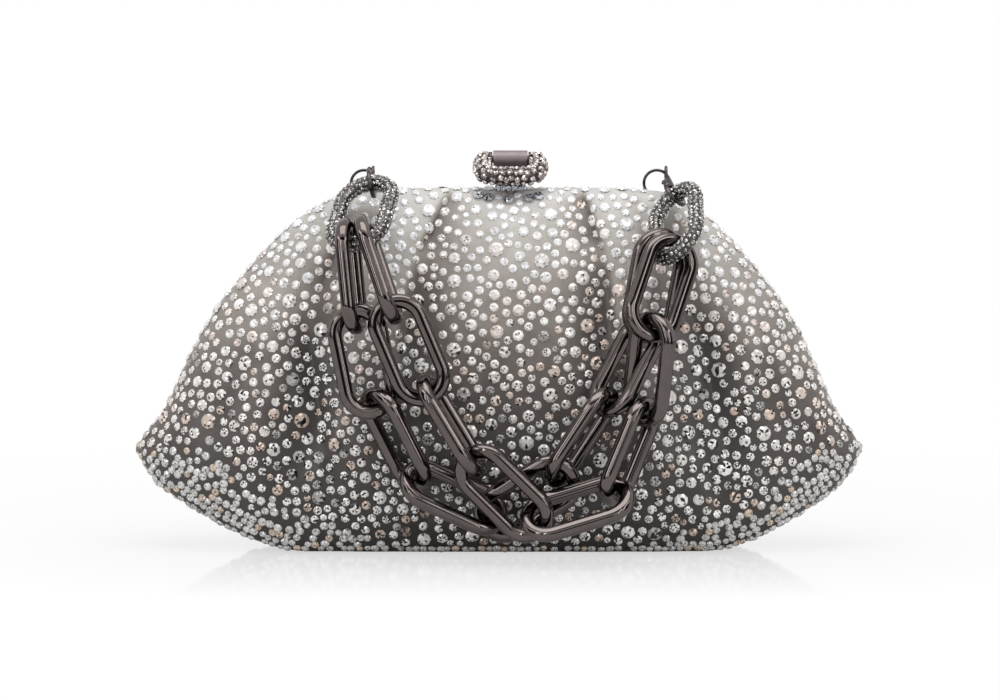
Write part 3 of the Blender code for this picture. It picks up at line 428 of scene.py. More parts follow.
fabricParts = (
    ("frontFabric", "front_panel", "bag", frontGrid, True),
    ("backFabricLower", "back_panel_lower", "bag", backLowerGrid, False),
    ("backFabricUpper", "back_panel_upper", "back", backUpperGrid, False),
    ("baseFabric", "base_panel", "bag", baseGrid, True),
)
fabricGrids = {}
for name, node, body, gridMaker, flip in fabricParts:
    outer = gridMaker(0.0)
    fabricGrids[name] = outer
    verts, faces = shellFromGrids(outer, gridMaker(bodySize["wall"]), flip)
    piece = newPiece(name, verts, faces, satin, body, smoothAngle=50)
    local = np.array([v.co for v in piece.data.vertices]) - bagMiddle
    # each vertex keeps the dye's share together with the painted shade of its pleats and folds
    share = np.where(local[:, 1] < 0, dyeAndPaintedShade(local[:, 0], local[:, 2], -1),
                     dyeAndPaintedShade(local[:, 0], local[:, 2], 1))
    layer = piece.data.color_attributes.new("dyeAndPaintedShade", "FLOAT_COLOR", "POINT")
    layer.data.foreach_set("color", np.column_stack([share, share, share, np.ones(len(share))]).reshape(-1))
    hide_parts(node)
print("fabric walls made")


# Crystals: foil-backed lead glass, cut with a table and a faceted crown, glued on one by one.
# The foil's reflections are painted into the facets' colours, some bright and some dark, which is what
# makes them sparkle.
crystalCut = {"sides": 8, "crownRadius": 0.90, "crownHeight": 0.22, "tableRadius": 0.55,
              "tableHeight": 0.42, "tableDip": 0.04}
crystalSizes = (  # radius in mm, stones per square cm, least distance between two of the kind in mm
    (2.45, 0.30, 11.0), (1.95, 1.10, 5.6), (1.50, 5.0, 0.0), (1.22, 9.9, 0.0),
)
crystalGap = ((0.0, 0.10), (0.10, 0.18), (0.25, 0.30), (0.6, 0.34), (1.0, 0.30))  # height share, gap in mm
# dye and painted-shade share, colour, second colour, chance of a painted dark reflection on a facet, its
# level, level of the painted shade on girdle facets that look down
crystalTints = (
    (0.00, "#efece9", "#c4b0a1", 0.38, 0.015, 0.07),
    (0.20, "#eae7e4", "#c8b4a6", 0.39, 0.015, 0.07),
    (0.38, "#dfdbd7", "#cdbcb0", 0.33, 0.03, 0.07),
    (0.55, "#e2dcd8", "#dacbc2", 0.17, 0.10, 0.12),
    (0.75, "#e9e6e4", "#e4d9d4", 0.09, 0.30, 0.18),
    (1.00, "#eeeef1", "#eeebea", 0.06, 0.48, 0.24),
)
# the foot is edged with rows of duller stones that overlap like scales, more rows toward the tips
hemRows = {"rows": 9, "first": 0.7, "apart": 2.12, "pitch": 2.60, "radius": 1.38, "jitter": 0.48,
           "ragged": 0.34, "overlap": 0.70, "sizes": (0.84, 1.14), "floorGap": 0.15, "tipRadius": 2.45,
           "reach": 0.9975, "tipPlace": 0.995, "downs": (0.03, 0.995), "samples": 2400}
hemCut = dict(crystalCut, crownHeight=0.32, tableHeight=0.62)  # steeper crowns than the rest
hemRowsAt = ((-1.0, 9.0), (-0.75, 8.5), (-0.55, 6.0), (-0.40, 2.5), (-0.30, 1.0),
             (0.30, 1.0), (0.42, 2.0), (0.55, 4.0), (0.75, 6.0), (1.0, 7.0))  # place across, rows
hemTints = ((0.0, "#cccac8", "#c9b7a6", 0.20, 0.26, 0.10), (1.0, "#d6d4d2", "#cfbfb0", 0.20, 0.26, 0.10))


def cutStone(cut):
    # girdle, crown and table rings, and a slightly sunken middle that stands for the facets seen through it
    sides = cut["sides"]
    angles = [2 * math.pi * k / sides for k in range(sides)]
    half = math.pi / sides
    verts = [(math.cos(a), math.sin(a), 0.0) for a in angles]
    verts += [(cut["crownRadius"] * math.cos(a + half), cut["crownRadius"] * math.sin(a + half),
               cut["crownHeight"]) for a in angles]
    verts += [(cut["tableRadius"] * math.cos(a), cut["tableRadius"] * math.sin(a), cut["tableHeight"])
              for a in angles]
    verts.append((0, 0, cut["tableHeight"] - cut["tableDip"]))
    faces = []
    for k in range(sides):
        n = (k + 1) % sides
        faces.append((k, n, sides + k))
        faces.append((n, sides + n, 2 * sides + n, sides + k))
        faces.append((sides + k, 2 * sides + n, 2 * sides + k))
        faces.append((2 * sides + k, 2 * sides + n, 3 * sides))
    return np.array(verts), faces


def gridNormals(grid, outward):
    across = np.gradient(grid, axis=1)
    down = np.gradient(grid, axis=0)
    normal = np.cross(across, down)
    normal /= np.linalg.norm(normal, axis=2, keepdims=True) + 1e-12
    return normal * outward


class StoneField:
    # keeps where stones lie already, on whichever piece, so that the next ones keep their gap from them
    def __init__(self, cell):
        self.cell = cell
        self.cells = {}

    def key(self, point):
        return tuple(int(math.floor(c / self.cell)) for c in point)

    def isFree(self, point, radius, gap, kindGap):
        i, j, k = self.key(point)
        for a in (i - 1, i, i + 1):
            for b in (j - 1, j, j + 1):
                for c in (k - 1, k, k + 1):
                    for x, y, z, otherRadius, otherGap in self.cells.get((a, b, c), ()):
                        apart = math.dist(point, (x, y, z))
                        if apart < radius + otherRadius + gap or apart < min(kindGap, otherGap):
                            return False
        return True

    def add(self, point, radius, kindGap):
        self.cells.setdefault(self.key(point), []).append((*point, radius, kindGap))


# tries for each stone wanted of the large and of the small kinds, and how much the sizes vary
scatterRule = {"largeTries": 14, "smallTries": 40, "sizeDrift": 0.06}


def scatterStones(grid, outward, field, rng, keepOut):
    rule = scatterRule
    normals = gridNormals(grid, outward)
    a = grid[:-1, :-1]
    areas = np.linalg.norm(np.cross(grid[:-1, 1:] - a, grid[1:, :-1] - a), axis=2)
    flat = areas.reshape(-1)
    chances = np.cumsum(flat) / flat.sum()
    columns = areas.shape[1]
    stones = []
    for radius, density, kindGap in crystalSizes:
        wanted = int(flat.sum() * 1e4 * density)
        tries = wanted * (rule["largeTries"] if kindGap else rule["smallTries"])
        cells = np.searchsorted(chances, rng.random(tries))
        spots = rng.random((tries, 2))
        made = 0
        for cell, (u, v) in zip(cells, spots):
            i, j = divmod(int(cell), columns)
            point = (grid[i, j] * (1 - u) * (1 - v) + grid[i, j + 1] * u * (1 - v)
                     + grid[i + 1, j] * (1 - u) * v + grid[i + 1, j + 1] * u * v)
            share = point[2] / bodySize["height"]
            gap = np.interp(share, *zip(*crystalGap)) * mm
            size = radius * mm * (1 + rule["sizeDrift"] * math.sin(37.0 * u + 11.0 * v))
            if keepOut(point, normals[i, j], size):
                continue
            if field.isFree(point, size, gap, kindGap * mm):
                field.add(point, size, kindGap * mm)
                stones.append((point, normals[i, j], size))
                made += 1
                if kindGap and made >= wanted:
                    break
    return stones


# how painted dark reflections gather on the facets: more chance beside the dark sector and less away from
# it, the kites' own share and the table's by turns, the lean over which the girdle's painted shade
# brightens, and the spread of painted dark and bright levels
paintedFacetRule = {"near": 1.7, "far": 0.5, "kite": 1.3, "oddTable": 1.5, "evenTable": 0.4,
             "lean": (-0.9, 0.5), "girdleTop": 0.70, "dark": (0.6, 1.5), "bright": (0.86, 1.0)}


def paintedFacetLevels(sides, lean, row, rng):
    # painted brightness of the girdle, kite, star and table facet of each side, standing for reflections
    # and, on the girdle, for shade; lean is -1 where a side looks down
    rule = paintedFacetRule
    darkReflectionChance, darkReflectionLevel, girdleShadeLevel = row
    sector = rng.integers(0, sides)
    levels = []
    for k in range(sides):
        # neighbouring facets take a painted dark reflection together, as a reflection crosses the stone
        apart = min((k - sector) % sides, (sector - k) % sides)
        near = rule["near"] if apart <= 1 else rule["far"]
        # painted shade: girdle facets that look down are drawn dark, those that look up stay light
        rim = np.interp(lean[k], rule["lean"], (girdleShadeLevel, rule["girdleTop"]))
        # the crown's own ring gets fewer painted dark reflections on pale stones, so that they read as
        # round discs
        table = rule["oddTable"] if k % 2 else rule["evenTable"]
        chances = (darkReflectionChance ** 2 * near * rule["kite"], darkReflectionChance * near, darkReflectionChance * table)
        levels.append(rim)
        for chance in chances:
            dark = rng.random() < chance
            levels.append(darkReflectionLevel * rng.uniform(*rule["dark"]) if dark else rng.uniform(*rule["bright"]))
    return levels


# how the stones differ from one another: tilt, place in the tints, tone, and the smoky ones of dark parts
stoneVariety = {"tilt": 0.03, "shareDrift": 0.06, "toneDrift": 0.06, "darkest": 0.75, "palest": 1.1,
                "smokyBelow": 0.6, "smokyTone": 0.5}


def stonePiece(name, stones, cut, tints, material, body, seed,
               sink=0.04, warmChance=0.14, smokyChance=0.0):
    vary = stoneVariety
    rng = np.random.default_rng(seed)
    template, facets = cutStone(cut)
    sides = cut["sides"]
    angles = 2 * math.pi * (np.arange(sides) + 0.5) / sides
    shares = [row[0] for row in tints]
    pale = np.array([linearColour(row[1])[:3] for row in tints])
    warm = np.array([linearColour(row[2])[:3] for row in tints])
    looks = np.array([row[3:] for row in tints])
    allVerts = []
    allFaces = []
    colours = []
    for n, (point, normal, radius) in enumerate(stones):
        side = np.cross(normal, (0.3, 0.1, 1.0))
        side /= np.linalg.norm(side)
        other = np.cross(normal, side)
        turn = rng.random() * 2 * math.pi
        u = side * math.cos(turn) + other * math.sin(turn)
        v = np.cross(normal, u)
        tilt = normal + u * rng.normal(0, vary["tilt"]) + v * rng.normal(0, vary["tilt"])
        tilt /= np.linalg.norm(tilt)
        v = np.cross(tilt, u)
        u = np.cross(v, tilt)
        local = template * radius
        local[:, 2] -= sink * radius
        allVerts.append(point + local[:, :1] * u + local[:, 1:2] * v + local[:, 2:] * tilt)
        offset = n * len(template)
        allFaces += [tuple(offset + k for k in face) for face in facets]
        # the stone's tint follows the dye and the painted shade of the pleats and folds where it sits
        share = float(dyeAndPaintedShade(point[0], point[2], -1 if point[1] < 0 else 1))
        share = share + rng.normal(0, vary["shareDrift"])
        pick = warm if rng.random() < warmChance else pale
        base = np.array([np.interp(share, shares, pick[:, axis]) for axis in range(3)])
        base = base * min(vary["palest"], max(vary["darkest"], rng.normal(1.0, vary["toneDrift"])))
        if share < vary["smokyBelow"] and rng.random() < smokyChance:
            base = base * vary["smokyTone"]
        row = [np.interp(share, shares, looks[:, k]) for k in range(looks.shape[1])]
        lean = u[2] * np.cos(angles) + v[2] * np.sin(angles)
        colours.append(np.outer(paintedFacetLevels(sides, lean, row, rng), base))
    verts = np.concatenate(allVerts) + bagMiddle
    piece = newPiece(name, verts, allFaces, material, body, smoothAngle=0)
    colours = np.concatenate(colours)
    # per-facet colours: the stone's tint with painted reflections and painted shade
    layer = piece.data.color_attributes.new("stoneTintAndPaintedLight", "BYTE_COLOR", "CORNER")
    loops = np.repeat(np.arange(len(allFaces)), [len(face) for face in allFaces])
    values = np.ones((len(loops), 4))
    values[:, :3] = np.clip(colours[loops], 0, 1)
    layer.data.foreach_set("color", values.reshape(-1))


def crystalMaterial(name, roughness, metallic):
    material, tree, shader = newMaterial(name, Metallic=metallic, Roughness=roughness, IOR=1.58,
                                         Specular_IOR_Level=0.25, Coat_Weight=0.45, Coat_Roughness=0.02,
                                         Coat_IOR=1.58)
    tint = addNode(tree, "ShaderNodeVertexColor", {"layer_name": "stoneTintAndPaintedLight"})
    where = addNode(tree, "ShaderNodeTexCoord")
    # small painted flashes of light inside the stones, about 0.7 mm across
    cells = addNode(tree, "ShaderNodeTexVoronoi", inputs={
        "Vector": where.outputs["Object"], "Scale": 1400.0})
    split = addNode(tree, "ShaderNodeSeparateColor", inputs={"Color": cells.outputs["Color"]})
    paintedFlash = addNode(tree, "ShaderNodeMapRange", inputs={
        "Value": split.outputs["Red"], "To Min": 0.80, "To Max": 1.12})
    tinted = addNode(tree, "ShaderNodeVectorMath", {"operation": "SCALE"}, {
        0: tint.outputs["Color"], "Scale": paintedFlash.outputs["Result"]})
    tree.links.new(tinted.outputs["Vector"], shader.inputs["Base Color"])
    return material


crystalGlass = crystalMaterial("foiled lead glass", 0.12, 0.15)
stoneField = StoneField(6.5 * mm)
stoneRng = np.random.default_rng(11)
crystalSides = {"frontFabric": -1, "backFabricLower": 1, "backFabricUpper": 1, "baseFabric": -1}
fabricBodies = {row[0]: row[2] for row in fabricParts}


# where the fabric stays bare, in mm: over the floor, underneath, round the clasp's posts, round the rings'
# brackets before and behind, and along the parting
bareSizes = {"floorGap": 0.3, "underLean": -0.6, "underHeight": 4, "topBand": 5, "topDepth": 4, "posts": 6,
             "brackets": 48, "before": 2.6, "behind": 5.2, "parting": 1.0}


def bareSpot(point, normal, size):
    # bare underneath, and where the clasp's posts and the rings' brackets come out of the top
    bare = bareSizes
    x, y, z = point
    if z < size * math.sqrt(max(0, 1 - normal[2] ** 2)) + bare["floorGap"] * mm:
        return True
    if normal[2] < bare["underLean"] and z < bare["underHeight"] * mm:
        return True
    if z < bodySize["height"] - bare["topBand"] * mm or abs(y) > bare["topDepth"] * mm:
        return False
    # the rings lean back, so they need more room behind
    room = bare["before"] if y < 0 else bare["behind"]
    return abs(x) < bare["posts"] * mm or abs(abs(x) - bare["brackets"] * mm) < room * mm


def bareParting(point, normal, size):
    # the lower edge of the back's upper part is bare, where it goes in behind the lower part's lip
    return point[2] - hingeHeight < size + bareSizes["parting"] * mm or bareSpot(point, normal, size)


def hemStones(side, field, rng):
    hem = hemRows
    places = np.linspace(-hem["reach"], hem["reach"], hem["samples"])
    reach = np.where(places < 0, bodySize["leftReach"], bodySize["rightReach"])
    middle, half, _ = bodyLevels(places)
    edge = np.column_stack([places * reach, middle - half])
    along = np.gradient(edge, axis=0)
    along /= np.linalg.norm(along, axis=1, keepdims=True)
    inward = np.column_stack([-along[:, 1], along[:, 0]])
    stones = []
    for row in range(hem["rows"]):
        line = edge + inward * (hem["first"] + hem["apart"] * row) * mm
        travel = np.concatenate([[0], np.cumsum(np.linalg.norm(np.diff(line, axis=0), axis=1))])
        stops = np.arange(0.5 * (row % 2) + 0.3, travel[-1] / mm / hem["pitch"]) * hem["pitch"] * mm
        for stop in stops:
            x = np.interp(stop, travel, line[:, 0]) + rng.uniform(-1, 1) * hem["jitter"] * mm
            z = np.interp(stop, travel, line[:, 1]) + rng.uniform(0, 1) * hem["jitter"] * mm
            z = max(z, hem["radius"] * mm + rng.uniform(0, 1) * hem["jitter"] * mm)
            own = bodySize["leftReach"] if x < 0 else bodySize["rightReach"]
            place = x / own
            ownRows = np.interp(place, *zip(*hemRowsAt))
            if abs(place) > hem["tipPlace"] or row >= ownRows:
                continue
            # the innermost rows thin out into the scattered stones
            if row > 1 and row > ownRows - 3 and rng.random() < hem["ragged"]:
                continue
            level, tall, _ = bodyLevels(np.array(place))
            down = float((level + tall - z) / (2 * tall))
            if not hem["downs"][0] < down < hem["downs"][1]:
                continue
            here, left, lower = (np.array(bodyPoint(np.array(a), b, side)).reshape(3) for a, b in (
                (place, down), (place - 0.002, down), (place, min(0.999, down + 0.006))))
            normal = np.cross(here - left, lower - here) * -side
            normal = normal / (np.linalg.norm(normal) + 1e-12)
            if normal[1] * side < 0:
                normal = -normal
            size = hem["radius"] * mm * rng.uniform(*hem["sizes"])
            low = size * math.sqrt(max(0, 1 - normal[2] ** 2)) + hem["floorGap"] * mm
            if here[2] < min(low, hem["radius"] * mm):
                continue
            if not field.isFree(here, size, -hem["overlap"] * mm, 0):
                continue
            field.add(here, size, 0)
            stones.append((here, normal, size))
    return stones


# darker stones set close round the foot of the clasp
footRow = {"reach": 10.5, "apart": 3.3, "forward": 5.9, "radius": 1.70, "raised": 0.35, "sweep": 0.25,
           "downs": (0.0008, 0.25, 500)}
footTints = ((0.0, "#a3a6ac", "#8f9298", 0.50, 0.06, 0.20), (1.0, "#b2b5bc", "#8f9298", 0.50, 0.06, 0.20))


def footStones(field):
    foot = footRow
    stones = []
    downs = np.linspace(*foot["downs"])
    for x in np.arange(-foot["reach"], foot["reach"] + 0.1, foot["apart"]) * mm:
        place = np.full_like(downs, x / (bodySize["leftReach"] if x < 0 else bodySize["rightReach"]))
        line = stacked(*bodyPoint(place, downs, -1))
        bend = foot["forward"] * (1 - foot["sweep"] * (x / mm / foot["reach"]) ** 2)
        k = int(np.argmax(line[:, 1] < -bend * mm))
        ahead = line[k + 3] - line[k]
        normal = np.cross(ahead, (1, 0, 0))
        normal = normal / np.linalg.norm(normal)
        if normal[1] > 0:
            normal = -normal
        if field.isFree(line[k], foot["radius"] * mm, 0, 0):
            field.add(line[k], foot["radius"] * mm, 0)
            stones.append((line[k], normal, foot["radius"] * mm))
    return stones


# one large stone closes each tip
tipStones = []
tipRadius = hemRows["tipRadius"] * mm
for end in (-1, 1):
    nose = np.array(end * bodySize["noseEnd"])
    rim = [bodyPoint(nose, down, side) for side in (-1, 1) for down in (0, 0.5, 1)]
    tip = np.array(rim).reshape(-1, 3).mean(axis=0)
    stoneField.add(tip, tipRadius, 0)
    tipStones.append((tip, np.array((float(end), 0.0, 0.0)), tipRadius))
hemPlaced = tipStones + hemStones(-1, stoneField, stoneRng) + hemStones(1, stoneField, stoneRng)
stonePiece("hemCrystals", hemPlaced, hemCut, hemTints, crystalGlass, "bag", 3, warmChance=0.10)
footPlaced = footStones(stoneField)
# and a row on the catch's own front edge, under the ring
catchRow = {"reach": 4.2, "apart": 1.68, "below": 0.75, "radius": 0.95, "facing": (0.0, -0.96, 0.28)}
catchLow, catchHigh = (np.array(corner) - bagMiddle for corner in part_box("clasp_seat"))
catchTop = catchHigh[2] - catchRow["below"] * mm
for x in np.arange(-catchRow["reach"], catchRow["reach"] + 0.1, catchRow["apart"]) * mm:
    place = np.array((x, catchLow[1], catchTop))
    footPlaced.append((place, np.array(catchRow["facing"]), catchRow["radius"] * mm))
stonePiece("footCrystals", footPlaced, crystalCut, footTints, crystalGlass, "bag", 4,
           sink=-footRow["raised"])
stoneCount = len(hemPlaced) + len(footPlaced)
print("hemCrystals and footCrystals", stoneCount, "stones")
for name, outward in crystalSides.items():
    bareRule = bareParting if name == "backFabricUpper" else bareSpot
    stones = scatterStones(fabricGrids[name], outward, stoneField, stoneRng, bareRule)
    pieceName = name.replace("Fabric", "Crystals")
    stonePiece(pieceName, stones, crystalCut, crystalTints, crystalGlass, fabricBodies[name],
               20 + len(name), smokyChance=0.09)
    stoneCount += len(stones)
    print(pieceName, len(stones), "stones")
print(stoneCount, "crystals set")


# Chain: die-cast zinc links, plated dark gunmetal and tumbled to a mirror.
# The eye gets long soft highlights with near-black streaks along each wire.
chainShape = {"length": 37.6, "width": 19.6, "wire": 4.6, "squareness": 2.5,
              "around": 28, "bend": 26, "side": 10}
jewelledShape = {"length": 35.0, "width": 22.2, "wire": 5.2, "squareness": 2.0,
                 "around": 24, "bend": 26, "side": 8, "settingLess": 0.5, "bed": 0.34, "stone": 0.76}
cornerLimit = 1.06  # how far the wire's rounded corners stand out past its half thickness


def metalMaterial(name, colour, roughness, scratch=0.05):
    wear = 0.10
    material, tree, shader = newMaterial(name, Metallic=1.0)
    where = addNode(tree, "ShaderNodeTexCoord")
    cloud = addNode(tree, "ShaderNodeTexNoise", inputs={
        "Vector": where.outputs["Object"], "Scale": 220.0, "Detail": 4.0, "Roughness": 0.6})
    level = addNode(tree, "ShaderNodeMapRange", inputs={
        "Value": cloud.outputs["Fac"], "From Min": 0.3, "From Max": 0.7,
        "To Min": 1 - wear, "To Max": 1 + wear})
    base = addNode(tree, "ShaderNodeRGB")
    base.outputs[0].default_value = linearColour(colour)
    tinted = addNode(tree, "ShaderNodeVectorMath", {"operation": "SCALE"}, {
        0: base.outputs["Color"], "Scale": level.outputs["Result"]})
    tree.links.new(tinted.outputs["Vector"], shader.inputs["Base Color"])
    # rubbing marks: fine scratches about 1 mm long
    stretch = addNode(tree, "ShaderNodeMapping", inputs={"Vector": where.outputs["Object"]})
    stretch.inputs["Scale"].default_value = (1.0, 1.0, 0.25)
    marks = addNode(tree, "ShaderNodeTexNoise", inputs={
        "Vector": stretch.outputs["Vector"], "Scale": 900.0, "Detail": 3.0, "Roughness": 0.7})
    gloss = addNode(tree, "ShaderNodeMapRange", inputs={
        "Value": marks.outputs["Fac"], "From Min": 0.3, "From Max": 0.8,
        "To Min": max(0.02, roughness - scratch), "To Max": roughness + scratch})
    tree.links.new(gloss.outputs["Result"], shader.inputs["Roughness"])
    bump = addNode(tree, "ShaderNodeBump", inputs={
        "Height": marks.outputs["Fac"], "Strength": 0.05, "Distance": 0.0001})
    tree.links.new(bump.outputs["Normal"], shader.inputs["Normal"])
    return material


gunmetal = metalMaterial("tumbled gunmetal plate", "#625b59", 0.08, scratch=0.03)
satinGunmetal = metalMaterial("brushed gunmetal", "#857b7d", 0.58, scratch=0.08)
darkGunmetal = metalMaterial("gunmetal under stones", "#4c4748", 0.35)
blackNickel = metalMaterial("black nickel", "#4e4948", 0.16)


def nodePoints(node):
    obj = frame["nodes"][node]
    points = np.empty(len(obj.data.vertices) * 3)
    obj.data.vertices.foreach_get("co", points)
    return points.reshape(-1, 3)


def ovalFrame(node):
    # middle, across, square to the plane and along of an oval link, found from its solid
    points = np.unique(np.round(nodePoints(node), 6), axis=0)
    middle = (points.max(0) + points.min(0)) / 2
    _, _, axes = np.linalg.svd(points - points.mean(0), full_matrices=False)
    local = (points - middle) @ axes.T
    middle = middle + ((local.max(0) + local.min(0)) / 2) @ axes
    return middle, axes[1], axes[2], axes[0]


def ovalPath(shape):
    # the middle line of an oval in its plane and the outward direction at each point
    radius = (shape["width"] - shape["wire"]) / 2 * mm
    straight = (shape["length"] - shape["width"]) / 2 * mm
    path = []
    outward = []
    for end in (1, -1):
        for k in range(shape["bend"] + 1):
            angle = math.pi * k / shape["bend"]
            out = (end * math.cos(angle), end * math.sin(angle))
            path.append((radius * out[0], end * straight + radius * out[1]))
            outward.append(out)
        for k in range(1, shape["side"]):
            share = k / shape["side"]
            path.append((-end * radius, end * straight * (1 - 2 * share)))
            outward.append((-end, 0.0))
    return np.array(path), np.array(outward)


def wireSection(shape):
    angles = 2 * math.pi * (np.arange(shape["around"]) + 0.5) / shape["around"]
    power = shape["squareness"]
    corner = (np.abs(np.cos(angles)) ** power + np.abs(np.sin(angles)) ** power) ** (-1 / power)
    radius = np.minimum(shape["wire"] / 2 * mm * corner, shape["wire"] / 2 * mm * cornerLimit)
    return radius * np.cos(angles), radius * np.sin(angles)


def tubeFaces(rings, around, closed):
    faces = []
    for i in range(rings if closed else rings - 1):
        n = (i + 1) % rings
        for j in range(around):
            m = (j + 1) % around
            faces.append((i * around + j, i * around + m, n * around + m, n * around + j))
    return faces


def ovalLink(name, node, shape, material):
    middle, across, normal, along = ovalFrame(node)
    path, outward = ovalPath(shape)
    out, up = wireSection(shape)
    verts = []
    for (px, pz), (ox, oz) in zip(path, outward):
        base = middle + across * px + along * pz
        way = across * ox + along * oz
        verts += [base + way * o + normal * u for o, u in zip(out, up)]
    piece = newPiece(name, verts, tubeFaces(len(path), shape["around"], True), material, node)
    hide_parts(node)


# the lie of the small stones: pitches in radii, and how far they stray from an even pattern
beddingRule = {"rowPitch": 2.08, "stonePitch": 1.92, "turnDrift": 0.9, "innerLess": 0.16,
               "sizeDrift": 0.07, "placeDrift": 0.30}


def looped(rows, closed):
    rows = np.array(rows)
    return np.vstack([rows, rows[:1]]) if closed else rows


def pickedAt(at, travel, rows):
    return np.array([np.interp(at, travel, rows[:, a]) for a in range(3)])


def roundStones(path, outward, normals, wireRadius, stoneRadius, closed=True, tightness=1.0):
    # rows of small stones round a wire; each place has its point, its normal and its size
    rule = beddingRule
    stones = []
    rows = int(2 * math.pi * wireRadius / (stoneRadius * rule["rowPitch"]) * tightness)
    points = np.array(path)
    ends = np.roll(points, -1, axis=0) if closed else points[1:]
    steps = np.linalg.norm(ends - points[:len(ends)], axis=1)
    travel = np.concatenate([[0], np.cumsum(steps)])
    count = int(travel[-1] / (stoneRadius * rule["stonePitch"]) * tightness)
    places, ways, ups = (looped(table, closed) for table in (points, outward, normals))
    for row in range(rows):
        angle = 2 * math.pi * row / rows
        for k in range(count):
            at = (k + 0.5 * (row % 2) + 0.25) / count * travel[-1]
            place, way, up = (pickedAt(at, travel, table) for table in (places, ways, ups))
            way /= np.linalg.norm(way)
            up /= np.linalg.norm(up)
            around = angle + rule["turnDrift"] / rows * math.sin(k * 3.3 + row * 1.3)
            normal = way * math.cos(around) + up * math.sin(around)
            tight = 1 - rule["innerLess"] * max(0.0, -math.cos(angle))
            tight = tight + rule["sizeDrift"] * math.sin(k * 2.4 + row * 1.7)
            stray = stoneRadius * rule["placeDrift"] * math.sin(k * 5.1 + row * 2.9)
            place = place + np.cross(way, up) * stray
            stones.append((place + normal * wireRadius - bagMiddle, normal, stoneRadius * tight))
    return stones


# Pave: tiny machine-cut stones bedded close together in dark metal, a dusty grey glitter
paveCut = {"sides": 6, "crownRadius": 0.84, "crownHeight": 0.30, "tableRadius": 0.50, "tableHeight": 0.52,
           "tableDip": 0.06}
paveTints = ((0.0, "#bfbcb8", "#94928e", 0.38, 0.12, 0.12), (1.0, "#c9c6c2", "#9f9d99", 0.38, 0.12, 0.12))
claspTints = ((0.0, "#c6bbb6", "#ab9f9b", 0.24, 0.18, 0.15), (1.0, "#d0c5c1", "#b5aaa6", 0.24, 0.18, 0.15))
claspCut = dict(paveCut, crownHeight=0.45, tableHeight=0.74)
paveGlass = crystalMaterial("pave lead glass", 0.14, 0.80)

for name in sorted(frame["nodes"]):
    if name.startswith("link_"):
        ovalLink("chain_" + name, name, chainShape, gunmetal)
print("chain links made")

for side in ("left", "right"):
    node = "jewelled_link_" + side
    less = jewelledShape["settingLess"]
    slimmer = {key: jewelledShape[key] - less for key in ("wire", "width", "length")}
    ovalLink("setting_" + node, node, dict(jewelledShape, **slimmer), darkGunmetal)
    middle, across, normal, along = ovalFrame(node)
    path, outward = ovalPath(jewelledShape)
    points = [middle + across * px + along * pz for px, pz in path]
    ways = [across * ox + along * oz for ox, oz in outward]
    bedRadius = jewelledShape["wire"] / 2 * mm - jewelledShape["bed"] * mm
    stones = roundStones(points, ways, [normal] * len(points), bedRadius, jewelledShape["stone"] * mm)
    stonePiece("stones_" + node, stones, paveCut, paveTints, paveGlass, node, 5, sink=0.0, warmChance=0.4)
print("jewelled links made")


# Ring clasp: a leaning loop set with stones that turns in a plain sleeve
claspSize = {"width": 18.2, "depth": 13.0, "wire": 5.4, "lean": 5.0, "sleeve": 11.2, "sleeveGap": 0.3,
             "pin": 1.2, "pinReach": 0.4, "pinSides": 16, "stone": 1.12, "bed": 0.30, "settingLess": 0.25,
             "fromAngle": 29, "sweep": 238, "steps": 60, "around": 24, "backShare": 0.86,
             "squareAcross": 0.5, "squareDeep": 0.62}


def claspRing():
    size = claspSize
    place = jointPlaces["clasp_ring_hinge"]
    endGap = size["sleeve"] / 2 + size["sleeveGap"]
    outline = [(endGap, 0.0), (endGap + size["wire"] / 3, 0.0)]
    back = size["depth"] / 2 * size["backShare"]
    for k in range(size["steps"] + 1):
        angle = math.radians(size["fromAngle"] - size["sweep"] * k / size["steps"])
        across, deep = math.cos(angle), math.sin(angle)
        x = size["width"] / 2 * math.copysign(abs(across) ** size["squareAcross"], across)
        y = size["depth"] / 2 * math.copysign(abs(deep) ** size["squareDeep"], deep)
        outline.append((x, y - back))
    outline += [(-endGap - size["wire"] / 3, 0.0), (-endGap, 0.0)]
    path = []
    for x, y in outline:
        path.append(np.array(place) + np.array((x, y, y * size["lean"] / size["depth"])) * mm)
    path = np.array(path)
    up = np.array((0, -size["lean"], size["depth"]))
    up = up / np.linalg.norm(up)
    headings = np.gradient(path, axis=0)
    headings /= np.linalg.norm(headings, axis=1, keepdims=True)
    ways = np.cross(up, headings)
    middle = path.mean(axis=0)
    if np.dot(ways[len(ways) // 2], path[len(path) // 2] - middle) < 0:
        ways = -ways
    around = size["around"]
    radius = (size["wire"] / 2 - size["settingLess"]) * mm
    verts = []
    for point, way in zip(path, ways):
        for j in range(around):
            angle = 2 * math.pi * j / around
            verts.append(point + (way * math.cos(angle) + up * math.sin(angle)) * radius)
    faces = tubeFaces(len(path), around, False)
    faces += [tuple(range(around)), tuple(range(len(verts) - around, len(verts)))]
    pinStart = len(verts)
    sides = size["pinSides"]
    for x in (-endGap - size["pinReach"], endGap + size["pinReach"]):
        for j in range(sides):
            angle = 2 * math.pi * j / sides
            offset = (x, size["pin"] * math.cos(angle), size["pin"] * math.sin(angle))
            verts.append(np.array(place) + np.array(offset) * mm)
    for j in range(sides):
        a, b = pinStart + j, pinStart + (j + 1) % sides
        faces.append((a, b, b + sides, a + sides))
    piece = newPiece("claspRingSetting", verts, faces, darkGunmetal, "clasp", smoothAngle=50)
    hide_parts("clasp_ring")
    bedRadius = (size["wire"] / 2 - size["bed"]) * mm
    stones = roundStones(path[1:-1], ways[1:-1], np.array([up] * (len(path) - 2)), bedRadius,
                         size["stone"] * mm, closed=False, tightness=1.16)
    stonePiece("claspRingStones", stones, claspCut, claspTints, paveGlass, "clasp", 9,
               sink=0.0, warmChance=0.4)


claspRing()


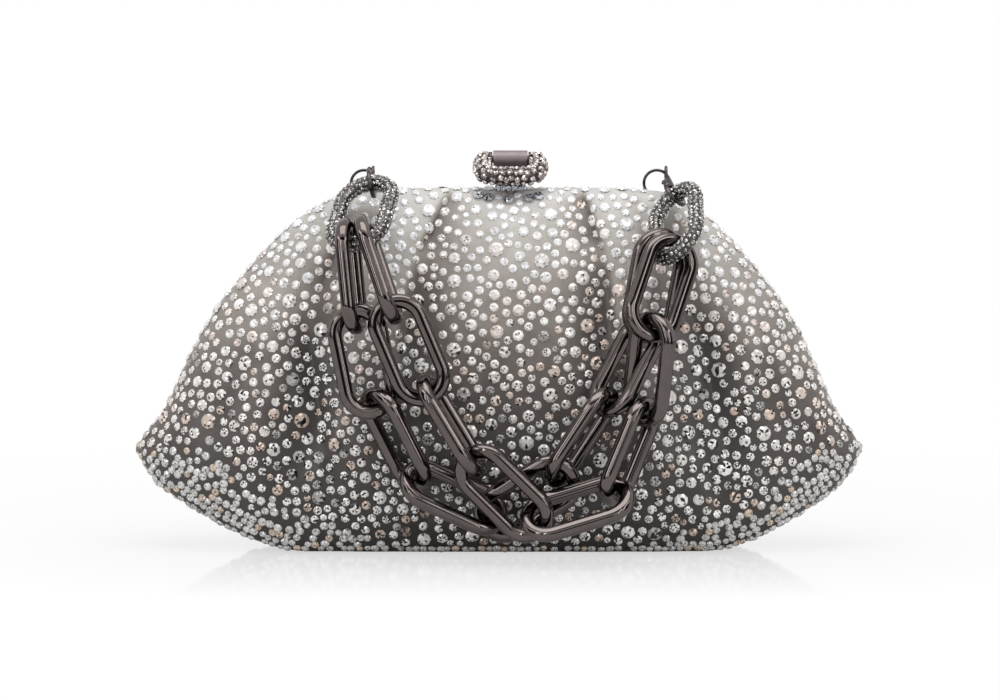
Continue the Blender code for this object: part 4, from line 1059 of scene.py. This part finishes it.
# Small hardware: the solids, rounded over as castings are
def castCopy(name, node, material, voxel, smoothing):
    # voxel is the grain of the rounding in mm, smoothing the number of passes
    source = frame["nodes"][node]
    obj = bpy.data.objects.new(name, source.data.copy())
    bpy.context.scene.collection.objects.link(obj)
    obj.data.materials.clear()
    obj.data.materials.append(material)
    remesh = obj.modifiers.new("remesh", "REMESH")
    remesh.mode = "VOXEL"
    remesh.voxel_size = voxel * mm
    smooth = obj.modifiers.new("smooth", "SMOOTH")
    smooth.factor = 0.5
    smooth.iterations = smoothing
    graph = bpy.context.evaluated_depsgraph_get()
    finished = bpy.data.meshes.new_from_object(obj.evaluated_get(graph))
    obj.modifiers.clear()
    obj.data = finished
    obj.data.shade_smooth()
    body = next(b for b, nodes in frame["record"]["behaviour"]["bodies"].items() if node in nodes)
    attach(obj, body)
    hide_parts(node)


for side in ("left", "right"):
    castCopy("claspBody_" + side, "clasp_body_" + side, blackNickel, 0.13, 5)
    castCopy("lever_" + side, "trigger_" + side, blackNickel, 0.10, 3)
castCopy("claspSleeve", "clasp_barrel", satinGunmetal, 0.15, 4)
castCopy("claspCatch", "clasp_seat", satinGunmetal, 0.15, 3)
for side in ("left", "right"):
    castCopy("ringBracket_" + side, "ring_bracket_" + side, satinGunmetal, 0.12, 3)


# Carrying rings: wire bent into a ring and soldered
ringBand = {"radius": 4.2, "thick": 0.96, "broad": 1.0, "rings": 72, "around": 14}


def carryingRing(side):
    band = ringBand
    middle = np.array(jointPlaces[f"ring_{side}_hinge"]) + np.array((0, 0, band["radius"] * mm))
    verts = []
    rings, around = band["rings"], band["around"]
    for i in range(rings):
        angle = 2 * math.pi * i / rings
        way = np.array((math.cos(angle), 0, math.sin(angle)))
        for j in range(around):
            turn = 2 * math.pi * j / around
            out = band["radius"] + band["thick"] / 2 * math.cos(turn)
            forward = np.array((0, band["broad"] / 2 * math.sin(turn), 0))
            verts.append(middle + way * out * mm + forward * mm)
    faces = tubeFaces(rings, around, True)
    piece = newPiece("carryingRing_" + side, verts, faces, blackNickel, "ring_" + side)
    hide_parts("ring_" + side)


carryingRing("left")
carryingRing("right")
print("hardware made")


# Frame, pins and board keep their solids
def dress(node, material):
    obj = frame["nodes"][node]
    for slot in obj.material_slots:
        slot.material = material


boardMaterial, boardTree, boardShader = newMaterial("grey board", Roughness=0.9)
boardWhere = addNode(boardTree, "ShaderNodeTexCoord")
boardNoise = addNode(boardTree, "ShaderNodeTexNoise", inputs={
    "Vector": boardWhere.outputs["Object"], "Scale": 700.0, "Detail": 4.0})
boardRamp = addNode(boardTree, "ShaderNodeValToRGB", inputs={"Fac": boardNoise.outputs["Fac"]})
setRamp(boardRamp, [(0.3, "#6d6a67"), (0.7, "#8a8784")])
boardTree.links.new(boardRamp.outputs["Color"], boardShader.inputs["Base Color"])
for node in ("front_frame", "back_frame", "hinge_pin_left", "hinge_pin_right"):
    dress(node, satinGunmetal)
dress("base_board", boardMaterial)


# Lining: the satin pouch, gathered into small folds round its upper edge
liningSize = {"reach": 0.86, "inset": 2.1, "wall": 0.8, "drop": 18.0, "folds": 46, "foldDepth": 0.35,
              "ease": 0.2, "overBoard": 3.8, "lowest": 4.1, "rimShare": 0.06, "footShare": 0.02,
              "columns": 241, "rows": 34}


def liningGrid(extra):
    size = liningSize
    columns = size["columns"]
    places = placesAcross(columns) * size["reach"] / bodySize["noseEnd"]
    middle, half, _ = bodyLevels(places)
    rim = hingeHeight - size["drop"] * mm
    start = np.clip((middle + half - rim) / (2 * half), size["rimShare"], 1)
    floor = 1 - size["overBoard"] * mm / bodySize["height"]
    rows = []
    for side in (-1, 1):
        shares = np.linspace(0, 1, size["rows"])
        for share in (shares if side < 0 else shares[::-1]):
            downs = start + (floor - size["footShare"] - start) * share
            x, y, z = bodyPoint(places, downs, side, (size["inset"] + extra) * mm)
            waves = np.sin(np.arange(columns) / columns * 2 * math.pi * size["folds"])
            gather = size["foldDepth"] * mm * waves
            y = y - side * (size["ease"] * mm + (gather + size["foldDepth"] * mm) * (1 - share) ** 2)
            z = np.maximum(z, (size["lowest"] + extra) * mm)
            rows.append(stacked(x, y, z))
    return np.array(rows)


liningVerts, liningFaces = shellFromGrids(liningGrid(0.0), liningGrid(liningSize["wall"]), True)
liningPouch = newPiece("liningPouch", liningVerts, liningFaces, liningSatin, "bag")
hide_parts("lining")
print("lining made")


# Floor, light and background: a white sweep with a faint reflection, as in a catalogue picture
stageSetup = {"floorReach": 12.0, "fadeStart": 0.12, "fadeEnd": 0.32, "plain": 0.84,
              "mirror": 0.24, "mirrorStart": 0.02, "mirrorReach": 0.10, "footHalf": 0.085,
              "drop": 0.0002, "litFloor": 0.86, "mattFloor": 0.80, "gloss": 0.06, "softStrength": 0.42}


def flatSheet(name, wide, high):
    mesh = bpy.data.meshes.new(name)
    w, h = wide / 2, high / 2
    mesh.from_pydata([(-w, -h, 0), (w, -h, 0), (w, h, 0), (-w, h, 0)], [], [(0, 1, 2, 3)])
    sheet = bpy.data.objects.new(name, mesh)
    bpy.context.scene.collection.objects.link(sheet)
    return sheet


def makeFloor():
    setup = stageSetup
    floor = flatSheet("floor", 2 * setup["floorReach"], 2 * setup["floorReach"])
    floor.location.z = -setup["drop"]
    material = bpy.data.materials.new("white acrylic floor")
    material.use_nodes = True
    tree = material.node_tree
    tree.nodes.clear()
    output = addNode(tree, "ShaderNodeOutputMaterial")
    light = addNode(tree, "ShaderNodeLightPath")
    where = addNode(tree, "ShaderNodeTexCoord")
    away = addNode(tree, "ShaderNodeVectorMath", {"operation": "LENGTH"}, {0: where.outputs["Object"]})
    fade = addNode(tree, "ShaderNodeMapRange", {"clamp": True}, {
        "Value": away.outputs["Value"], "From Min": setup["fadeStart"], "From Max": setup["fadeEnd"],
        "To Min": setup["plain"], "To Max": 1.0})
    lit = addNode(tree, "ShaderNodeBsdfDiffuse")
    lit.inputs["Color"].default_value = (*[setup["litFloor"]] * 3, 1)
    glow = addNode(tree, "ShaderNodeEmission")
    glow.inputs["Color"].default_value = (1, 1, 1, 1)
    plain = addNode(tree, "ShaderNodeMixShader", inputs={0: fade.outputs["Result"]})
    tree.links.new(lit.outputs[0], plain.inputs[1])
    tree.links.new(glow.outputs[0], plain.inputs[2])
    mirror = addNode(tree, "ShaderNodeBsdfGlossy", inputs={"Roughness": setup["gloss"]})
    # distance from the line under the bag, so that the reflection dies away from its foot
    split = addNode(tree, "ShaderNodeSeparateXYZ", inputs={"Vector": where.outputs["Object"]})
    aside = addNode(tree, "ShaderNodeMath", {"operation": "ABSOLUTE"}, {0: split.outputs["X"]})
    past = addNode(tree, "ShaderNodeMath", {"operation": "SUBTRACT"}, {
        0: aside.outputs["Value"], 1: setup["footHalf"]})
    beyond = addNode(tree, "ShaderNodeMath", {"operation": "MAXIMUM"}, {0: past.outputs["Value"], 1: 0.0})
    offset = addNode(tree, "ShaderNodeCombineXYZ", inputs={
        "X": beyond.outputs["Value"], "Y": split.outputs["Y"]})
    fromFoot = addNode(tree, "ShaderNodeVectorMath", {"operation": "LENGTH"}, {0: offset.outputs["Vector"]})
    mirrorShare = addNode(tree, "ShaderNodeMapRange", {"clamp": True}, {
        "Value": fromFoot.outputs["Value"], "From Min": setup["mirrorStart"],
        "From Max": setup["mirrorReach"], "To Min": setup["mirror"], "To Max": 0.0})
    polished = addNode(tree, "ShaderNodeMixShader", inputs={0: mirrorShare.outputs["Result"]})
    tree.links.new(plain.outputs[0], polished.inputs[1])
    tree.links.new(mirror.outputs[0], polished.inputs[2])
    matt = addNode(tree, "ShaderNodeBsdfDiffuse")
    matt.inputs["Color"].default_value = (*[setup["mattFloor"]] * 3, 1)
    seen = addNode(tree, "ShaderNodeMixShader", inputs={0: light.outputs["Is Camera Ray"]})
    tree.links.new(matt.outputs[0], seen.inputs[1])
    tree.links.new(polished.outputs[0], seen.inputs[2])
    tree.links.new(seen.outputs[0], output.inputs["Surface"])
    floor.data.materials.append(material)


def makeWorld():
    world = bpy.data.worlds.new("studio")
    bpy.context.scene.world = world
    world.use_nodes = True
    tree = world.node_tree
    tree.nodes.clear()
    output = addNode(tree, "ShaderNodeOutputWorld")
    light = addNode(tree, "ShaderNodeLightPath")
    soft = addNode(tree, "ShaderNodeBackground", inputs={
        "Color": (1, 1, 1, 1), "Strength": stageSetup["softStrength"]})
    white = addNode(tree, "ShaderNodeBackground", inputs={"Color": (1, 1, 1, 1), "Strength": 1.0})
    either = addNode(tree, "ShaderNodeMath", {"operation": "MAXIMUM"}, {
        0: light.outputs["Is Camera Ray"], 1: light.outputs["Is Glossy Ray"]})
    whiteRay = addNode(tree, "ShaderNodeMath", {"operation": "MAXIMUM"}, {
        0: either.outputs["Value"], 1: light.outputs["Is Transmission Ray"]})
    mix = addNode(tree, "ShaderNodeMixShader", inputs={0: whiteRay.outputs["Value"]})
    tree.links.new(soft.outputs[0], mix.inputs[1])
    tree.links.new(white.outputs[0], mix.inputs[2])
    tree.links.new(mix.outputs[0], output.inputs["Surface"])


# place, size, strength of each soft lamp; the narrow ones draw the thin bright streaks along the links
lamps = {
    "overhead": ((0.0, -0.15, 0.95), (0.9, 0.6), 5.0),
    "leftSoftbox": ((-0.85, -0.55, 0.50), (0.5, 0.7), 3.4),
    "rightSoftbox": ((0.85, -0.55, 0.50), (0.5, 0.7), 3.4),
    "leftStrip": ((-0.42, -0.75, 0.35), (0.05, 0.6), 0.7),
    "rightStrip": ((0.42, -0.75, 0.35), (0.05, 0.6), 0.7),
}
# dark cards that give the metal its black streaks: place, size
darkCards = {
    "frontCard": ((0.0, -0.95, 0.02), (0.50, 0.55)),
    "leftCard": ((-0.60, -0.30, 0.15), (0.30, 0.60)),
    "rightCard": ((0.60, -0.30, 0.15), (0.30, 0.60)),
    "upperCard": ((0.0, -0.70, 0.75), (1.10, 0.20)),
    "leftFrontCard": ((-0.50, -0.80, 0.10), (0.16, 0.70)),
    "rightFrontCard": ((0.50, -0.80, 0.10), (0.16, 0.70)),
}


def aimAt(obj, target):
    way = Vector(target) - obj.location
    obj.rotation_euler = way.to_track_quat("-Z", "Y").to_euler()


def makeLights():
    middle = (0.0, 0.0, 0.06)
    for name, (place, size, power) in lamps.items():
        data = bpy.data.lights.new(name, "AREA")
        data.shape = "RECTANGLE"
        data.size, data.size_y = size
        data.energy = power
        lamp = bpy.data.objects.new(name, data)
        lamp.location = place
        bpy.context.scene.collection.objects.link(lamp)
        aimAt(lamp, middle)
    card = newMaterial("black card", Roughness=0.9, Base_Color=(0.012, 0.012, 0.012, 1))[0]
    for name, (place, size) in darkCards.items():
        obj = flatSheet(name, *size)
        obj.data.materials.append(card)
        obj.location = place
        aimAt(obj, middle)
        obj.visible_camera = False
        obj.visible_diffuse = False
        obj.visible_shadow = False


makeFloor()
makeWorld()
makeLights()
bpy.context.scene.view_settings.view_transform = "Standard"
print("stage set")
